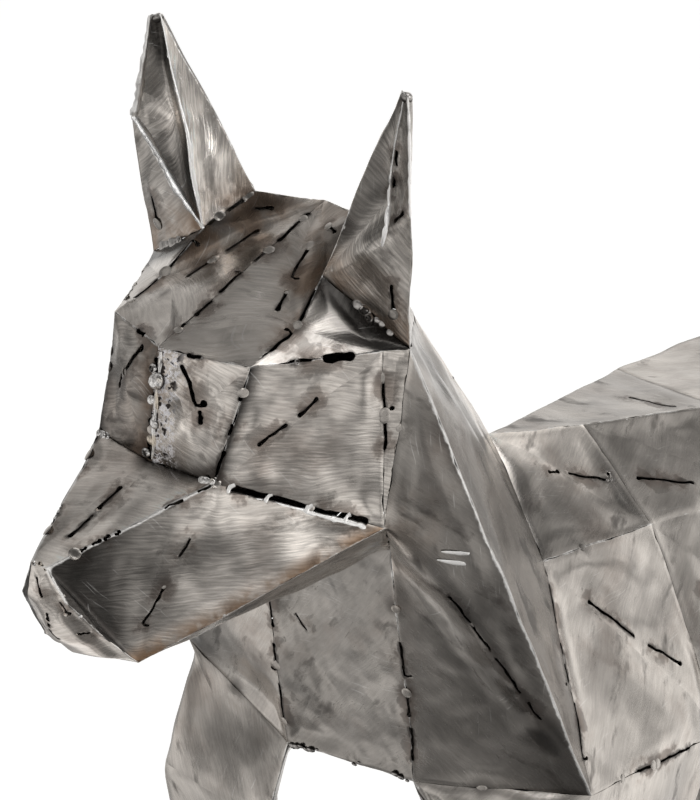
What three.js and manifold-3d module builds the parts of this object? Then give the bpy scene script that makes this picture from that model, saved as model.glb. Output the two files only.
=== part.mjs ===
// A standing dog welded up from folded plates of scrap sheet steel, hollow inside, on a low steel base.
// Millimetres, +Z up. The dog looks along -Y, its left side is +X, and the origin is under the base's middle.
import * as THREE from 'three';
import { mergeVertices } from 'three/addons/utils/BufferGeometryUtils.js';
import Module from 'manifold-3d';

const wasm = await Module();
wasm.setup();

// Driving dimensions
const SHEET = 2; // thickness of every plate of the dog
const SEAM = 0.4; // clearance along a seam between two plates
const SLIT = 3; // width of the slits burnt through the plates
const MOUTH = 6; // height of the open mouth line
const BASE = { length: 890, width: 380, thickness: 5, corner: 30 };
const STAND = 0.3; // clearance of the paws over the base
const WITHERS = 650; // height of the withers above the base
const STOP_OVER_WITHERS = 121; // the stop is where the muzzle meets the wall of the brow
const STOP = { back: -487, up: BASE.thickness + WITHERS + STOP_OVER_WITHERS };
const GROUND = BASE.thickness + STAND - STOP.up; // foot of the paws, measured from the stop

// Corners of the plates on the dog's left side: out from the centre plane, then back and up from the stop
const HEAD = {
  noseTop: [6.5, -94, -30],
  noseSide: [17, -89, -53],
  noseLow: [25, -68, -82],
  chin: [29, -43, -113],
  stop: [0, 0, 0],
  underEye: [49, 7, 1],
  browMid: [0, 12, 74],
  brow: [57, 31, 72],
  eye: [27, 5, 38],
  temple: [57, 70, 81],
  occiput: [0, 163, 119],
  cheekTop: [99, 104, 69],
  jaw: [95, 112, -60],
};
const EAR = {
  earFront: [50, 105, 104],
  earInner: [41, 149, 127],
  earRear: [76, 152, 86],
  earOuter: [109, 118, 68],
  earFlare: [112, 113, 157],
  earPocket: [92, 124, 160],
  earTipIn: [97, 120, 232],
  earTipOut: [104, 117, 230],
  earTipRear: [100, 126, 228],
};
const NECK = {
  napeMid: [0, 252, 8],
  throatTop: [60, 159, -112],
  throatLow: [60, 187, -313],
  shoulderPoint: [162, 256, -312],
  bladeTop: [78, 303, -178],
  withers: [0, 339, -STOP_OVER_WITHERS],
};
const TAIL = {
  tailTop: [15, 846, -232],
  tailLow: [15, 858, -268],
  tailTipTop: [7, 950, -300],
  tailTipLow: [7, 946, -316],
};
const THIGH = {
  hip: [106, 770, -238],
  stifleOut: [124, 688, -430],
  stifleIn: [58, 696, -410],
  buttockOut: [98, 856, -372],
  buttockIn: [44, 862, -360],
};

// Rings of the trunk, front to rear: spine and rib corners on top, flank and belly corners below
const TRUNK = [
  { back: 425, spine: [19, -141], rib: [86, -199], flank: [157, -352], belly: [104, -396] },
  { back: 560, spine: [47, -171], rib: [98, -224], flank: [140, -354], belly: [66, -412] },
  { back: 672, spine: [46, -184], rib: [88, -230], flank: [108, -346], belly: [48, -384] },
  { back: 770, spine: [36, -194] },
];

// Corners that the maker set differently on the right: a lower chin, a wider ear, the shoulder in mid stride
const RIGHT = {
  noseLow: [24, -75, -101],
  chin: [28, -49, -125],
  earInner: [37, 140, 122],
  earFlare: [117, 110, 162],
  throatLow: [60, 187, -334],
  shoulderPoint: [165, 196, -295],
};

// Rings of the legs below the trunk: inner and outer sides, front and rear, height, the right leg's step
// ahead, how far the rear corners drop below the front ones, and the inner side at the rear if not square
const FORELEG = [
  { inner: 60, outer: 174, front: 216, rear: 334, up: -391, step: 52, drop: 46, innerRear: 156 },
  { inner: 70, outer: 160, front: 244, rear: 326, up: -490, step: 72, innerRear: 136 },
  { inner: 86, outer: 142, front: 262, rear: 318, up: -655, step: 96, innerRear: 108 },
  { inner: 84, outer: 146, front: 250, rear: 312, up: -716, step: 104 },
  { inner: 76, outer: 154, front: 190, rear: 320, up: -748, step: 108 },
  { inner: 78, outer: 152, front: 180, rear: 316, up: GROUND, step: 108 },
];
const HINDLEG = [
  { inner: 64, outer: 122, front: 718, rear: 824, up: -520, step: -20 },
  { inner: 74, outer: 116, front: 796, rear: 864, up: -606, step: -40 },
  { inner: 80, outer: 118, front: 798, rear: 846, up: -712, step: -50 },
  { inner: 72, outer: 128, front: 740, rear: 854, up: -748, step: -50 },
  { inner: 74, outer: 126, front: 730, rear: 850, up: GROUND, step: -50 },
];

// Every corner by name; a name that ends in R is the mirror image on the dog's right side
const corners = {};

function setCorner(name, left, right = left) {
  corners[name] = new THREE.Vector3(left[0], STOP.back + left[1], STOP.up + left[2]);
  corners[name + 'R'] = new THREE.Vector3(-right[0], STOP.back + right[1], STOP.up + right[2]);
}

for (const group of [HEAD, EAR, NECK, TAIL, THIGH]) {
  for (const [name, place] of Object.entries(group)) setCorner(name, place, RIGHT[name]);
}
TRUNK.forEach(({ back, ...ring }, i) => {
  for (const [name, [out, up]] of Object.entries(ring)) setCorner(name + i, [out, back, up]);
});

// The four corners of a leg's ring, in turn: front inner, front outer, rear outer, rear inner
function legRing(leg, i, ring) {
  const { inner, outer, front, rear, up, step, drop = 0, innerRear = inner } = ring;
  const places = [
    [inner, front, up],
    [outer, front, up],
    [outer, rear, up - drop],
    [innerRear, rear, up - drop],
  ];
  return places.map(([out, back, height], corner) => {
    const name = `${leg}${i}.${corner}`;
    setCorner(name, [out, back, height], [out, back - step, height]);
    return name;
  });
}

const foreRings = [['throatLow', 'shoulderPoint', 'flank0', 'belly0']];
FORELEG.forEach((ring, i) => foreRings.push(legRing('fore', i, ring)));
const hindRings = [['stifleIn', 'stifleOut', 'buttockOut', 'buttockIn']];
HINDLEG.forEach((ring, i) => hindRings.push(legRing('hind', i, ring)));

// Quads of a leg's wall between two corners of its rings, from one ring down to another
function wall(rings, side, from, to) {
  const facets = [];
  for (let i = from; i < to; i += 1) {
    const next = (side + 1) % 4;
    facets.push([rings[i][side], rings[i + 1][side], rings[i + 1][next], rings[i][next]]);
  }
  return facets;
}

const FRONT = 0;
const OUTER = 1;
const REAR = 2;
const INNER = 3;
const forePaw = FORELEG.length - 2; // the ring where the leg's plates end and the paw begins
const hindPaw = HINDLEG.length - 2;
const ROUND = [FRONT, OUTER, REAR, INNER];
const paw = (rings, from) => ROUND.flatMap((side) => wall(rings, side, from, rings.length - 1));

// Plates made twice, as mirror images. A facet's corners run anticlockwise seen from outside.
const PAIRS = {
  muzzle_side: [
    ['noseTop', 'noseSide', 'noseLow'],
    ['noseTop', 'noseLow', 'chin', 'underEye'],
    ['underEye', 'chin', 'jaw'],
  ],
  eye_plate: [
    ['browMid', 'eye', 'brow'],
    ['brow', 'eye', 'underEye'],
    ['underEye', 'eye', 'stop'],
    ['stop', 'eye', 'browMid'],
  ],
  crown: [
    ['browMid', 'brow', 'temple'],
    ['browMid', 'temple', 'occiput'],
    ['temple', 'earFront', 'occiput'],
    ['earFront', 'earInner', 'occiput'],
  ],
  temple: [
    ['brow', 'cheekTop', 'temple'],
    ['temple', 'cheekTop', 'earFront'],
    ['cheekTop', 'earOuter', 'earFront'],
  ],
  cheek: [
    ['brow', 'underEye', 'cheekTop'],
    ['underEye', 'jaw', 'cheekTop'],
  ],
  cheek_strap: [['cheekTop', 'jaw', 'earOuter']],
  ear_cup: [
    ['earTipOut', 'earPocket', 'earFlare'],
    ['earFlare', 'earPocket', 'earFront'],
    ['earFront', 'earPocket', 'earTipIn'],
    ['earTipIn', 'earPocket', 'earTipOut'],
    ['earFlare', 'earFront', 'earOuter'],
  ],
  ear_inner: [['earTipIn', 'earInner', 'earFront']],
  ear_back: [
    ['earTipIn', 'earTipOut', 'earTipRear'],
    ['earTipIn', 'earTipRear', 'earInner'],
    ['earTipRear', 'earRear', 'earInner'],
    ['earTipOut', 'earFlare', 'earTipRear'],
    ['earFlare', 'earRear', 'earTipRear'],
    ['earFlare', 'earOuter', 'earRear'],
  ],
  nape: [
    ['occiput', 'earInner', 'napeMid'],
    ['earInner', 'earRear', 'napeMid'],
    ['earRear', 'earOuter', 'napeMid'],
  ],
  neck_rear: [
    ['earOuter', 'shoulderPoint', 'bladeTop'],
    ['earOuter', 'bladeTop', 'napeMid'],
    ['napeMid', 'bladeTop', 'withers'],
  ],
  neck_side: [
    ['earOuter', 'jaw', 'shoulderPoint'],
    ['jaw', 'throatTop', 'shoulderPoint'],
    ['throatTop', 'throatLow', 'shoulderPoint'],
  ],
  withers_side: [
    ['withers', 'bladeTop', 'rib0'],
    ['withers', 'rib0', 'spine0'],
  ],
  shoulder: [
    ['bladeTop', 'shoulderPoint', 'flank0'],
    ['bladeTop', 'flank0', 'rib0'],
  ],
  ribs: [
    ['spine0', 'rib0', 'rib1', 'spine1'],
    ['rib0', 'flank0', 'flank1', 'rib1'],
  ],
  loin: [
    ['spine1', 'rib1', 'rib2', 'spine2'],
    ['rib1', 'flank1', 'flank2', 'rib2'],
    ['spine2', 'rib2', 'hip', 'spine3'],
    ['rib2', 'flank2', 'stifleOut', 'hip'],
  ],
  thigh: [
    ['spine3', 'hip', 'tailTop'],
    ['hip', 'stifleOut', 'buttockOut'],
    ['hip', 'buttockOut', 'tailTop'],
  ],
  foreleg_outer: [...wall(foreRings, FRONT, 0, forePaw), ...wall(foreRings, OUTER, 0, forePaw)],
  foreleg_inner: [...wall(foreRings, REAR, 0, forePaw), ...wall(foreRings, INNER, 0, forePaw)],
  fore_paw: paw(foreRings, forePaw),
  hind_leg_outer: [...wall(hindRings, FRONT, 0, hindPaw), ...wall(hindRings, OUTER, 0, hindPaw)],
  hind_leg_inner: [...wall(hindRings, REAR, 0, hindPaw), ...wall(hindRings, INNER, 0, hindPaw)],
  hind_paw: paw(hindRings, hindPaw),
};

// Plates that cross the centre plane
const CENTRES = {
  nose_cap: [
    ['noseTop', 'noseTopR', 'noseSideR', 'noseSide'],
    ['noseSide', 'noseSideR', 'noseLowR', 'noseLow'],
    ['noseLow', 'noseLowR', 'chinR', 'chin'],
  ],
  muzzle_top: [
    ['noseTop', 'underEye', 'stop'],
    ['noseTop', 'stop', 'noseTopR'],
    ['noseTopR', 'stop', 'underEyeR'],
  ],
  jaw_underside: [
    ['chin', 'chinR', 'throatTopR', 'throatTop'],
    ['chin', 'throatTop', 'jaw'],
    ['chinR', 'jawR', 'throatTopR'],
  ],
  throat: [['throatTop', 'throatTopR', 'throatLowR', 'throatLow']],
  back: [
    ['withers', 'spine0', 'spine0R'],
    ['spine0', 'spine1', 'spine1R', 'spine0R'],
  ],
  croup: [
    ['spine1', 'spine2', 'spine2R', 'spine1R'],
    ['spine2', 'spine3', 'spine3R', 'spine2R'],
    ['spine3', 'tailTop', 'tailTopR', 'spine3R'],
  ],
  brisket: [['throatLow', 'throatLowR', 'belly0R', 'belly0']],
  belly: [
    ['belly0', 'belly0R', 'belly1R', 'belly1'],
    ['belly1', 'belly1R', 'belly2R', 'belly2'],
    ['flank0', 'belly0', 'belly1', 'flank1'],
    ['flank1', 'belly1', 'belly2', 'flank2'],
    ['flank0R', 'flank1R', 'belly1R', 'belly0R'],
    ['flank1R', 'flank2R', 'belly2R', 'belly1R'],
  ],
  groin: [
    ['belly2', 'belly2R', 'stifleInR', 'stifleIn'],
    ['stifleIn', 'stifleInR', 'buttockInR', 'buttockIn'],
    ['flank2', 'belly2', 'stifleIn', 'stifleOut'],
    ['flank2R', 'stifleOutR', 'stifleInR', 'belly2R'],
  ],
  rump: [
    ['buttockIn', 'buttockInR', 'tailLowR', 'tailLow'],
    ['buttockOut', 'buttockIn', 'tailLow'],
    ['buttockOut', 'tailLow', 'tailTop'],
    ['buttockOutR', 'tailLowR', 'buttockInR'],
    ['buttockOutR', 'tailTopR', 'tailLowR'],
  ],
  tail: [
    ['tailTop', 'tailLow', 'tailTipLow', 'tailTipTop'],
    ['tailTopR', 'tailTipTopR', 'tailTipLowR', 'tailLowR'],
    ['tailTop', 'tailTipTop', 'tailTipTopR', 'tailTopR'],
    ['tailLow', 'tailLowR', 'tailTipLowR', 'tailTipLow'],
    ['tailTipTop', 'tailTipLow', 'tailTipLowR', 'tailTipTopR'],
  ],
};

// Slits burnt along a seam, through both of its plates: each run is a part of the way along the edge
const SEAM_SLITS = [
  {
    edge: ['underEye', 'jaw'], plates: ['cheek', 'muzzle_side'], width: MOUTH,
    runs: [[0.09, 0.88]],
  },
  { edge: ['brow', 'temple'], plates: ['crown', 'temple'], runs: [[0.45, 0.95]] },
  { edge: ['temple', 'earFront'], plates: ['crown', 'temple'], runs: [[0.2, 0.75]] },
  { edge: ['brow', 'cheekTop'], plates: ['temple', 'cheek'], runs: [[0.3, 0.45], [0.54, 0.77]] },
  {
    edge: ['cheekTop', 'jaw'], plates: ['cheek', 'cheek_strap'],
    runs: [[0.17, 0.31], [0.39, 0.54]],
  },
  {
    edge: ['throatTop', 'throatLow'], plates: ['throat', 'neck_side'],
    runs: [[0.38, 0.52], [0.6, 0.7], [0.76, 0.9]],
  },
  {
    edge: ['bladeTop', 'shoulderPoint'], plates: ['neck_rear', 'shoulder'],
    runs: [[0.1, 0.26], [0.36, 0.53], [0.62, 0.84]],
  },
  {
    edge: ['shoulderPoint', 'flank0'], plates: ['shoulder', 'foreleg_outer'],
    runs: [[0.35, 0.45], [0.52, 0.75]],
  },
  { edge: ['rib1', 'flank1'], plates: ['ribs', 'loin'], runs: [[0.15, 0.4], [0.55, 0.85]] },
  { edge: ['hip', 'stifleOut'], plates: ['loin', 'thigh'], runs: [[0.2, 0.5], [0.6, 0.85]] },
  { edge: ['stifleOut', 'buttockOut'], plates: ['thigh', 'hind_leg_outer'], runs: [[0.25, 0.6]] },
];

// Slits burnt through a facet of one plate: each run goes from one place to another, both given as parts of
// the way from the facet's first corner to its second and to its third
const FACE_SLITS = [
  {
    plate: 'cheek', facet: ['brow', 'underEye', 'cheekTop'],
    runs: [[0.7, 0.26, 0.56, 0.42], [0.48, 0.5, 0.37, 0.61]],
  },
  {
    plate: 'muzzle_side', facet: ['noseTop', 'chin', 'underEye'],
    runs: [[0.29, 0.68, 0.39, 0.58], [0.57, 0.4, 0.74, 0.18]],
  },
  {
    plate: 'muzzle_top', facet: ['stop', 'noseTop', 'noseTopR'],
    runs: [[0.13, 0.13, 0.23, 0.23], [0.26, 0.26, 0.36, 0.36]],
  },
  { plate: 'eye_plate', facet: ['browMid', 'eye', 'brow'], runs: [[0.23, 0.2, 0.7, 0.2]] },
  {
    plate: 'crown', facet: ['browMid', 'temple', 'occiput'],
    runs: [[0.36, 0.6, 0.47, 0.42], [0.56, 0.31, 0.66, 0.18]],
  },
  { plate: 'crown', facet: ['browMid', 'temple', 'occiput'], runs: [[0.1, 0.6, 0.06, 0.8]] },
  { plate: 'crown', facet: ['earFront', 'earInner', 'occiput'], runs: [[0.3, 0.3, 0.15, 0.5]] },
  {
    plate: 'ear_cup', facet: ['earFlare', 'earFront', 'earOuter'],
    runs: [[0.2, 0.42, 0.18, 0.62]],
  },
  {
    plate: 'neck_side', facet: ['jaw', 'throatTop', 'shoulderPoint'],
    runs: [[0.06, 0.27, 0.06, 0.42], [0.06, 0.47, 0.06, 0.6]],
  },
  {
    plate: 'throat', facet: ['throatTop', 'throatTopR', 'throatLowR'],
    runs: [[0.38, 0.44, 0.26, 0.48]],
  },
  { plate: 'withers_side', facet: ['withers', 'rib0', 'spine0'], runs: [[0.44, 0.06, 0.54, 0.34]] },
  {
    plate: 'shoulder', facet: ['bladeTop', 'flank0', 'rib0'],
    runs: [[0.24, 0.03, 0.44, 0.09], [0.5, 0.12, 0.62, 0.18]],
  },
  { plate: 'ribs', facet: ['rib0', 'flank0', 'rib1'], runs: [[0.35, 0.2, 0.3, 0.5]] },
  { plate: 'back', facet: ['spine0', 'spine1', 'spine0R'], runs: [[0.3, 0.3, 0.6, 0.3]] },
];

const mirrored = (name) => (name.endsWith('R') ? name.slice(0, -1) : name + 'R');
const plates = new Map();
for (const [name, facets] of Object.entries(PAIRS)) {
  plates.set(name + '_left', facets);
  plates.set(name + '_right', facets.map((facet) => facet.map(mirrored).reverse()));
}
for (const [name, facets] of Object.entries(CENTRES)) plates.set(name, facets);

// A corner on the centre plane is one place under two names
const tidy = (value) => value.toFixed(2).replace('-0.00', '0.00');
const placeKey = (name) => corners[name].toArray().map(tidy).join(' ');

function triangles(facets) {
  return facets.flatMap((facet) => facet.slice(2).map((name, i) => [facet[0], facet[i + 1], name]));
}

function normalOf(names) {
  const [a, b, c] = names.map((name) => corners[name]);
  return b.clone().sub(a).cross(c.clone().sub(a)).normalize();
}

// The way from each outer corner to the inner one, SHEET behind every facet that meets there
const normalsAt = new Map();
for (const facets of plates.values()) {
  for (const names of triangles(facets)) {
    for (const name of names) {
      const key = placeKey(name);
      normalsAt.set(key, [...(normalsAt.get(key) ?? []), normalOf(names)]);
    }
  }
}

function inward(name) {
  const sum = new THREE.Matrix3().set(0.01, 0, 0, 0, 0.01, 0, 0, 0, 0.01);
  const pull = new THREE.Vector3();
  for (const normal of normalsAt.get(placeKey(name))) {
    const n = normal.toArray();
    sum.elements.forEach((value, i) => {
      sum.elements[i] = value + n[i % 3] * n[Math.floor(i / 3)];
    });
    pull.addScaledVector(normal, -SHEET);
  }
  const way = pull.applyMatrix3(sum.invert()).clampLength(SHEET, 12 * SHEET);
  if (corners[name].z < BASE.thickness + SHEET) way.z = 0;
  return way;
}

// A closed plate: outer and inner faces, and walls along its seams, drawn back by half of the clearance
function plateGeometry(facets) {
  const faces = triangles(facets);
  const directed = new Set(faces.flatMap(([a, b, c]) => [a + '>' + b, b + '>' + c, c + '>' + a]));
  const rim = [];
  for (const face of faces) {
    face.forEach((a, i) => {
      const b = face[(i + 1) % 3];
      if (!directed.has(b + '>' + a)) {
        const along = corners[b].clone().sub(corners[a]).normalize();
        rim.push({ a, b, in: normalOf(face).cross(along) });
      }
    });
  }
  const names = [...new Set(faces.flat())];
  const outer = names.map((name) => {
    const place = corners[name].clone();
    const before = rim.find((edge) => edge.b === name);
    const after = rim.find((edge) => edge.a === name);
    if (before && after) {
      const spread = Math.max(0.25, 1 + before.in.dot(after.in));
      place.addScaledVector(before.in.clone().add(after.in), SEAM / 2 / spread);
    }
    return place;
  });
  const inner = names.map((name, i) => outer[i].clone().add(inward(name)));
  const at = (name) => names.indexOf(name);
  const behind = (name) => names.length + names.indexOf(name);
  const index = [
    ...faces.flatMap(([a, b, c]) => [at(a), at(b), at(c), behind(c), behind(b), behind(a)]),
    ...rim.flatMap(({ a, b }) => {
      if (placeKey(a) < placeKey(b)) return [at(b), at(a), behind(a), at(b), behind(a), behind(b)];
      return [at(b), at(a), behind(b), at(a), behind(a), behind(b)];
    }),
  ];
  const geometry = new THREE.BufferGeometry().setFromPoints([...outer, ...inner]);
  geometry.setIndex(index);
  return geometry;
}

function toSolid(geometry) {
  const plain = geometry.clone();
  plain.deleteAttribute('normal');
  plain.deleteAttribute('uv');
  const welded = mergeVertices(plain);
  const mesh = new wasm.Mesh({
    numProp: 3,
    vertProperties: Float32Array.from(welded.attributes.position.array),
    triVerts: Uint32Array.from(welded.index.array),
  });
  return new wasm.Manifold(mesh);
}

function fromSolid(solid) {
  const mesh = solid.getMesh();
  const geometry = new THREE.BufferGeometry();
  geometry.setAttribute('position', new THREE.BufferAttribute(Float32Array.from(mesh.vertProperties), 3));
  geometry.setIndex([...mesh.triVerts]);
  return geometry;
}

// A bar that cuts a slit from one point to another, right through the sheet
function slitBar(from, to, normal, width) {
  const along = to.clone().sub(from);
  const bar = new THREE.BoxGeometry(along.length(), width, 8 * SHEET);
  const x = along.clone().normalize();
  const y = normal.clone().cross(x).normalize();
  const z = x.clone().cross(y);
  bar.applyMatrix4(new THREE.Matrix4().makeBasis(x, y, z));
  const middle = from.clone().lerp(to, 0.5);
  bar.translate(middle.x, middle.y, middle.z);
  return bar;
}

const SIDES = [
  { suffix: '_left', side: (name) => name, turn: 1 },
  { suffix: '_right', side: mirrored, turn: -1 },
];

const bars = new Map([...plates.keys()].map((name) => [name, []]));
const nodeFor = (plate, suffix) => (plates.has(plate) ? plate : plate + suffix);

for (const { suffix, side, turn } of SIDES) {
  for (const { plates: both, edge, runs, width = SLIT } of SEAM_SLITS) {
    const [a, b] = edge.map((name) => corners[side(name)]);
    const keys = edge.map((name) => placeKey(side(name)));
    const normal = new THREE.Vector3();
    for (const plate of both) {
      for (const names of triangles(plates.get(nodeFor(plate, suffix)))) {
        const held = names.map(placeKey);
        if (keys.every((key) => held.includes(key))) normal.add(normalOf(names));
      }
    }
    for (const [start, end] of runs) {
      const bar = slitBar(a.clone().lerp(b, start), a.clone().lerp(b, end), normal.normalize(), width);
      for (const plate of both) bars.get(nodeFor(plate, suffix)).push(bar);
    }
  }
  for (const { plate, facet, runs } of FACE_SLITS) {
    if (plates.has(plate) && suffix === '_right') continue;
    const names = facet.map(side);
    const [a, b, c] = names.map((name) => corners[name]);
    const normal = normalOf(names).multiplyScalar(turn);
    const on = (u, v) => a.clone().multiplyScalar(1 - u - v).addScaledVector(b, u).addScaledVector(c, v);
    for (const [u0, v0, u1, v1] of runs) {
      bars.get(nodeFor(plate, suffix)).push(slitBar(on(u0, v0), on(u1, v1), normal, SLIT));
    }
  }
}

const steel = new THREE.MeshStandardMaterial({ color: 0x8c8a88, metalness: 1, roughness: 0.42 });
const baseSteel = new THREE.MeshStandardMaterial({ color: 0x6e6c6a, metalness: 1, roughness: 0.5 });
const dog = new THREE.Group();
dog.name = 'scrap_metal_dog';

function addNode(name, geometry, material) {
  const flat = geometry.index ? geometry.toNonIndexed() : geometry;
  flat.computeVertexNormals();
  const node = new THREE.Mesh(flat, material);
  node.name = name;
  dog.add(node);
}

for (const [name, facets] of plates) {
  const plate = toSolid(plateGeometry(facets));
  const cuts = bars.get(name).map(toSolid);
  const solid = cuts.reduce((whole, cut) => whole.subtract(cut), plate);
  addNode(name, fromSolid(solid), steel);
}

const half = { x: BASE.width / 2, y: BASE.length / 2 };
const outline = new THREE.Shape([
  new THREE.Vector2(half.x - BASE.corner, -half.y),
  new THREE.Vector2(half.x, BASE.corner - half.y),
  new THREE.Vector2(half.x, half.y - BASE.corner),
  new THREE.Vector2(half.x - BASE.corner, half.y),
  new THREE.Vector2(BASE.corner - half.x, half.y),
  new THREE.Vector2(-half.x, half.y - BASE.corner),
  new THREE.Vector2(-half.x, BASE.corner - half.y),
  new THREE.Vector2(BASE.corner - half.x, -half.y),
]);
const slab = new THREE.ExtrudeGeometry(outline, { depth: BASE.thickness, bevelEnabled: false });
addNode('base_plate', slab, baseSteel);

export default dog;
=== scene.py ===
"""Scrap metal dog: cut and ground steel plates, tacked and beaded along their seams, on a base plate."""

import logging
import math
import random
from dataclasses import dataclass, field
from enum import Enum

import bpy
import numpy as np
from mathutils import Matrix, Vector
from mathutils.bvhtree import BVHTree


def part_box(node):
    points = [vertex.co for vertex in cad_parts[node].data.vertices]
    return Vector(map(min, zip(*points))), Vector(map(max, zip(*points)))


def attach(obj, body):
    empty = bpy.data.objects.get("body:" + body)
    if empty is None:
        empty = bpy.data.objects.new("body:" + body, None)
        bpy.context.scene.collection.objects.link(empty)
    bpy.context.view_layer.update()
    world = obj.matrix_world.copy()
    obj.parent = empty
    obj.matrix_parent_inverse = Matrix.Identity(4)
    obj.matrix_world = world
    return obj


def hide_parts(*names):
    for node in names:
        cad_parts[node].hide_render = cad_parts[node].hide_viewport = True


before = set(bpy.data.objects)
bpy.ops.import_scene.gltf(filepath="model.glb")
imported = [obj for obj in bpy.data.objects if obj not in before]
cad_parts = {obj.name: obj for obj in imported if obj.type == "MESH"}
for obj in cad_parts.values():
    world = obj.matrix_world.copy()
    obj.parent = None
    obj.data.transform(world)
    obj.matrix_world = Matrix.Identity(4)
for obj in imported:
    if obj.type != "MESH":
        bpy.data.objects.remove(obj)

LOG = logging.getLogger("scrap_metal_dog")
MM = 0.001
BODY = "root"
UV_GRAIN = "grain"
NEAR = 30 * MM
Piece = bpy.types.Object
Finish = bpy.types.Material
Socket = bpy.types.NodeSocket
Tint = tuple[float, float, float, float]
Spot = tuple[float, float, float]
Facets = list[str]
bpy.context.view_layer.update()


class TackKind(Enum):
    """The three looks a weld tack is left with."""

    GROUND = "ground flush"
    DOME = "left round"
    PITTED = "round with a blow hole"


class Mark(Enum):
    """What sets a part of a plate apart, named as the finish reads it."""

    # The tone mark holds each plate's lightness: a random tone, and painted shade and painted highlights that
    # stand in for how the light falls on it.
    TONE = "tone"
    FROST = "frost"
    RUST = "rust"


class Place(Enum):
    """The sub-assembly that a plate belongs to."""

    HEAD = "head"
    EAR = "ear"
    NECK = "neck"
    TRUNK = "trunk"
    LEG = "leg"


# Bench work


def only(piece: Piece) -> None:
    """Leave one object selected and active, in object mode.

    Args:
        piece: the object to work on.
    """
    if bpy.context.object and bpy.context.object.mode != "OBJECT":
        bpy.ops.object.mode_set(mode="OBJECT")
    bpy.ops.object.select_all(action="DESELECT")
    piece.select_set(True)
    bpy.context.view_layer.objects.active = piece


def pick_tops(piece: Piece, least: float) -> None:
    """Open a piece in edit mode with just its upward faces selected.

    Args:
        piece: the object to edit.
        least: the least upward part of a chosen face's normal.
    """
    only(piece)
    bpy.ops.object.mode_set(mode="EDIT")
    bpy.ops.mesh.select_mode(type="FACE")
    bpy.ops.mesh.select_all(action="DESELECT")
    done()
    for face in piece.data.polygons:
        face.select = face.normal.z > least
    bpy.ops.object.mode_set(mode="EDIT")


def whole(piece: Piece) -> None:
    """Open a piece in edit mode with all of it selected."""
    only(piece)
    bpy.ops.object.mode_set(mode="EDIT")
    bpy.ops.mesh.select_all(action="SELECT")


def done() -> None:
    """Go back to object mode."""
    bpy.ops.object.mode_set(mode="OBJECT")


def face_out() -> None:
    """Turn every face of the open piece outwards and go back to object mode."""
    bpy.ops.mesh.select_all(action="SELECT")
    bpy.ops.mesh.normals_make_consistent(inside=False)
    done()


def modify(piece: Piece, kind: str, **settings: object) -> None:
    """Add a modifier to a piece and apply it.

    Args:
        piece: the piece to change.
        kind: the modifier's type.
        settings: its settings by name.
    """
    modifier = piece.modifiers.new(kind.lower(), kind)
    for name, value in settings.items():
        setattr(modifier, name, value)
    only(piece)
    bpy.ops.object.modifier_apply(modifier=modifier.name)


def smooth(piece: Piece, degrees: float) -> None:
    """Smooth a piece's shading, but not over edges sharper than this."""
    only(piece)
    bpy.ops.object.shade_smooth_by_angle(angle=math.radians(degrees))


def strip_maps(mesh: bpy.types.Mesh) -> None:
    """Take every UV map off a mesh."""
    while mesh.uv_layers:
        mesh.uv_layers.remove(mesh.uv_layers[0])


def write(mesh: bpy.types.Mesh, name: str, values: np.ndarray) -> None:
    """Write a number for each vertex, under a name that the finish reads."""
    layer = mesh.attributes.new(name, "FLOAT", "POINT")
    layer.data.foreach_set("value", values.astype(np.float32))


def hand_over(piece: Piece, node: str = "") -> None:
    """Set a finished piece in the frame.

    Args:
        piece: the finished piece.
        node: the node that it replaces, where there is one.
    """
    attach(piece, BODY)
    if node:
        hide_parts(node)
    LOG.info("piece %s: %d faces", piece.name, len(piece.data.polygons))


def join(parts: list[Piece], name: str) -> Piece:
    """Join objects into one, with its place in its mesh.

    Args:
        parts: the objects to join.
        name: what the whole is called.

    Returns:
        The joined object.
    """
    only(parts[0])
    for part in parts:
        part.select_set(True)
    if len(parts) > 1:
        bpy.ops.object.join()
    bpy.ops.object.transform_apply(location=True, rotation=True, scale=True)
    parts[0].name = parts[0].data.name = name
    return parts[0]


def copy_at(model: Piece, place: Matrix) -> Piece:
    """Copy a modelled shape, with a mesh of its own, to a place.

    Args:
        model: the shape to copy.
        place: where the copy stands.

    Returns:
        The copy.
    """
    copy = model.copy()
    copy.data = model.data.copy()
    bpy.context.scene.collection.objects.link(copy)
    copy.matrix_world = place
    return copy


def points_of(mesh: bpy.types.Mesh) -> np.ndarray:
    """Return a mesh's vertices as rows of x, y, z."""
    flat = np.empty(len(mesh.vertices) * 3, dtype=np.float32)
    mesh.vertices.foreach_get("co", flat)
    return flat.reshape(-1, 3).astype(float)


def eased(share: np.ndarray) -> np.ndarray:
    """Ease shares from 0 to 1, slow at both ends."""
    return share * share * (3 - 2 * share)


def seeded(word: str, start: Vector, end: Vector) -> random.Random:
    """Make a source of chance that belongs to one line.

    Args:
        word: what it is used for.
        start: the line's start.
        end: the line's end.

    Returns:
        The source.
    """
    spot = start + end
    return random.Random(f"{word}{spot.x:.3f} {spot.y:.3f} {spot.z:.3f}")


def given(table: dict | list) -> dict | list:
    """Let each object of a dataclass start with its own copy of a table."""
    return field(default_factory=table.copy)


def unsided(node: str) -> str:
    """Name a plate without its side."""
    return node.removesuffix("_left").removesuffix("_right")


def far_from(points: np.ndarray, lines: list[tuple[Vector, Vector]], most: float) -> np.ndarray:
    """Measure how far points are from the nearest of some straight lines.

    Args:
        points: rows of x, y, z.
        lines: the two ends of each line.
        most: the longest distance that is of interest.

    Returns:
        A distance for each point, no longer than most.
    """
    nearest = np.full(len(points), most)
    for start, end in lines:
        a, run = np.array(start), np.array(end) - np.array(start)
        share = np.clip((points - a) @ run / max(run @ run, 1e-12), 0, 1)
        gap = np.linalg.norm(points - a - share[:, None] * run, axis=1)
        nearest = np.minimum(nearest, gap)
    return nearest


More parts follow.
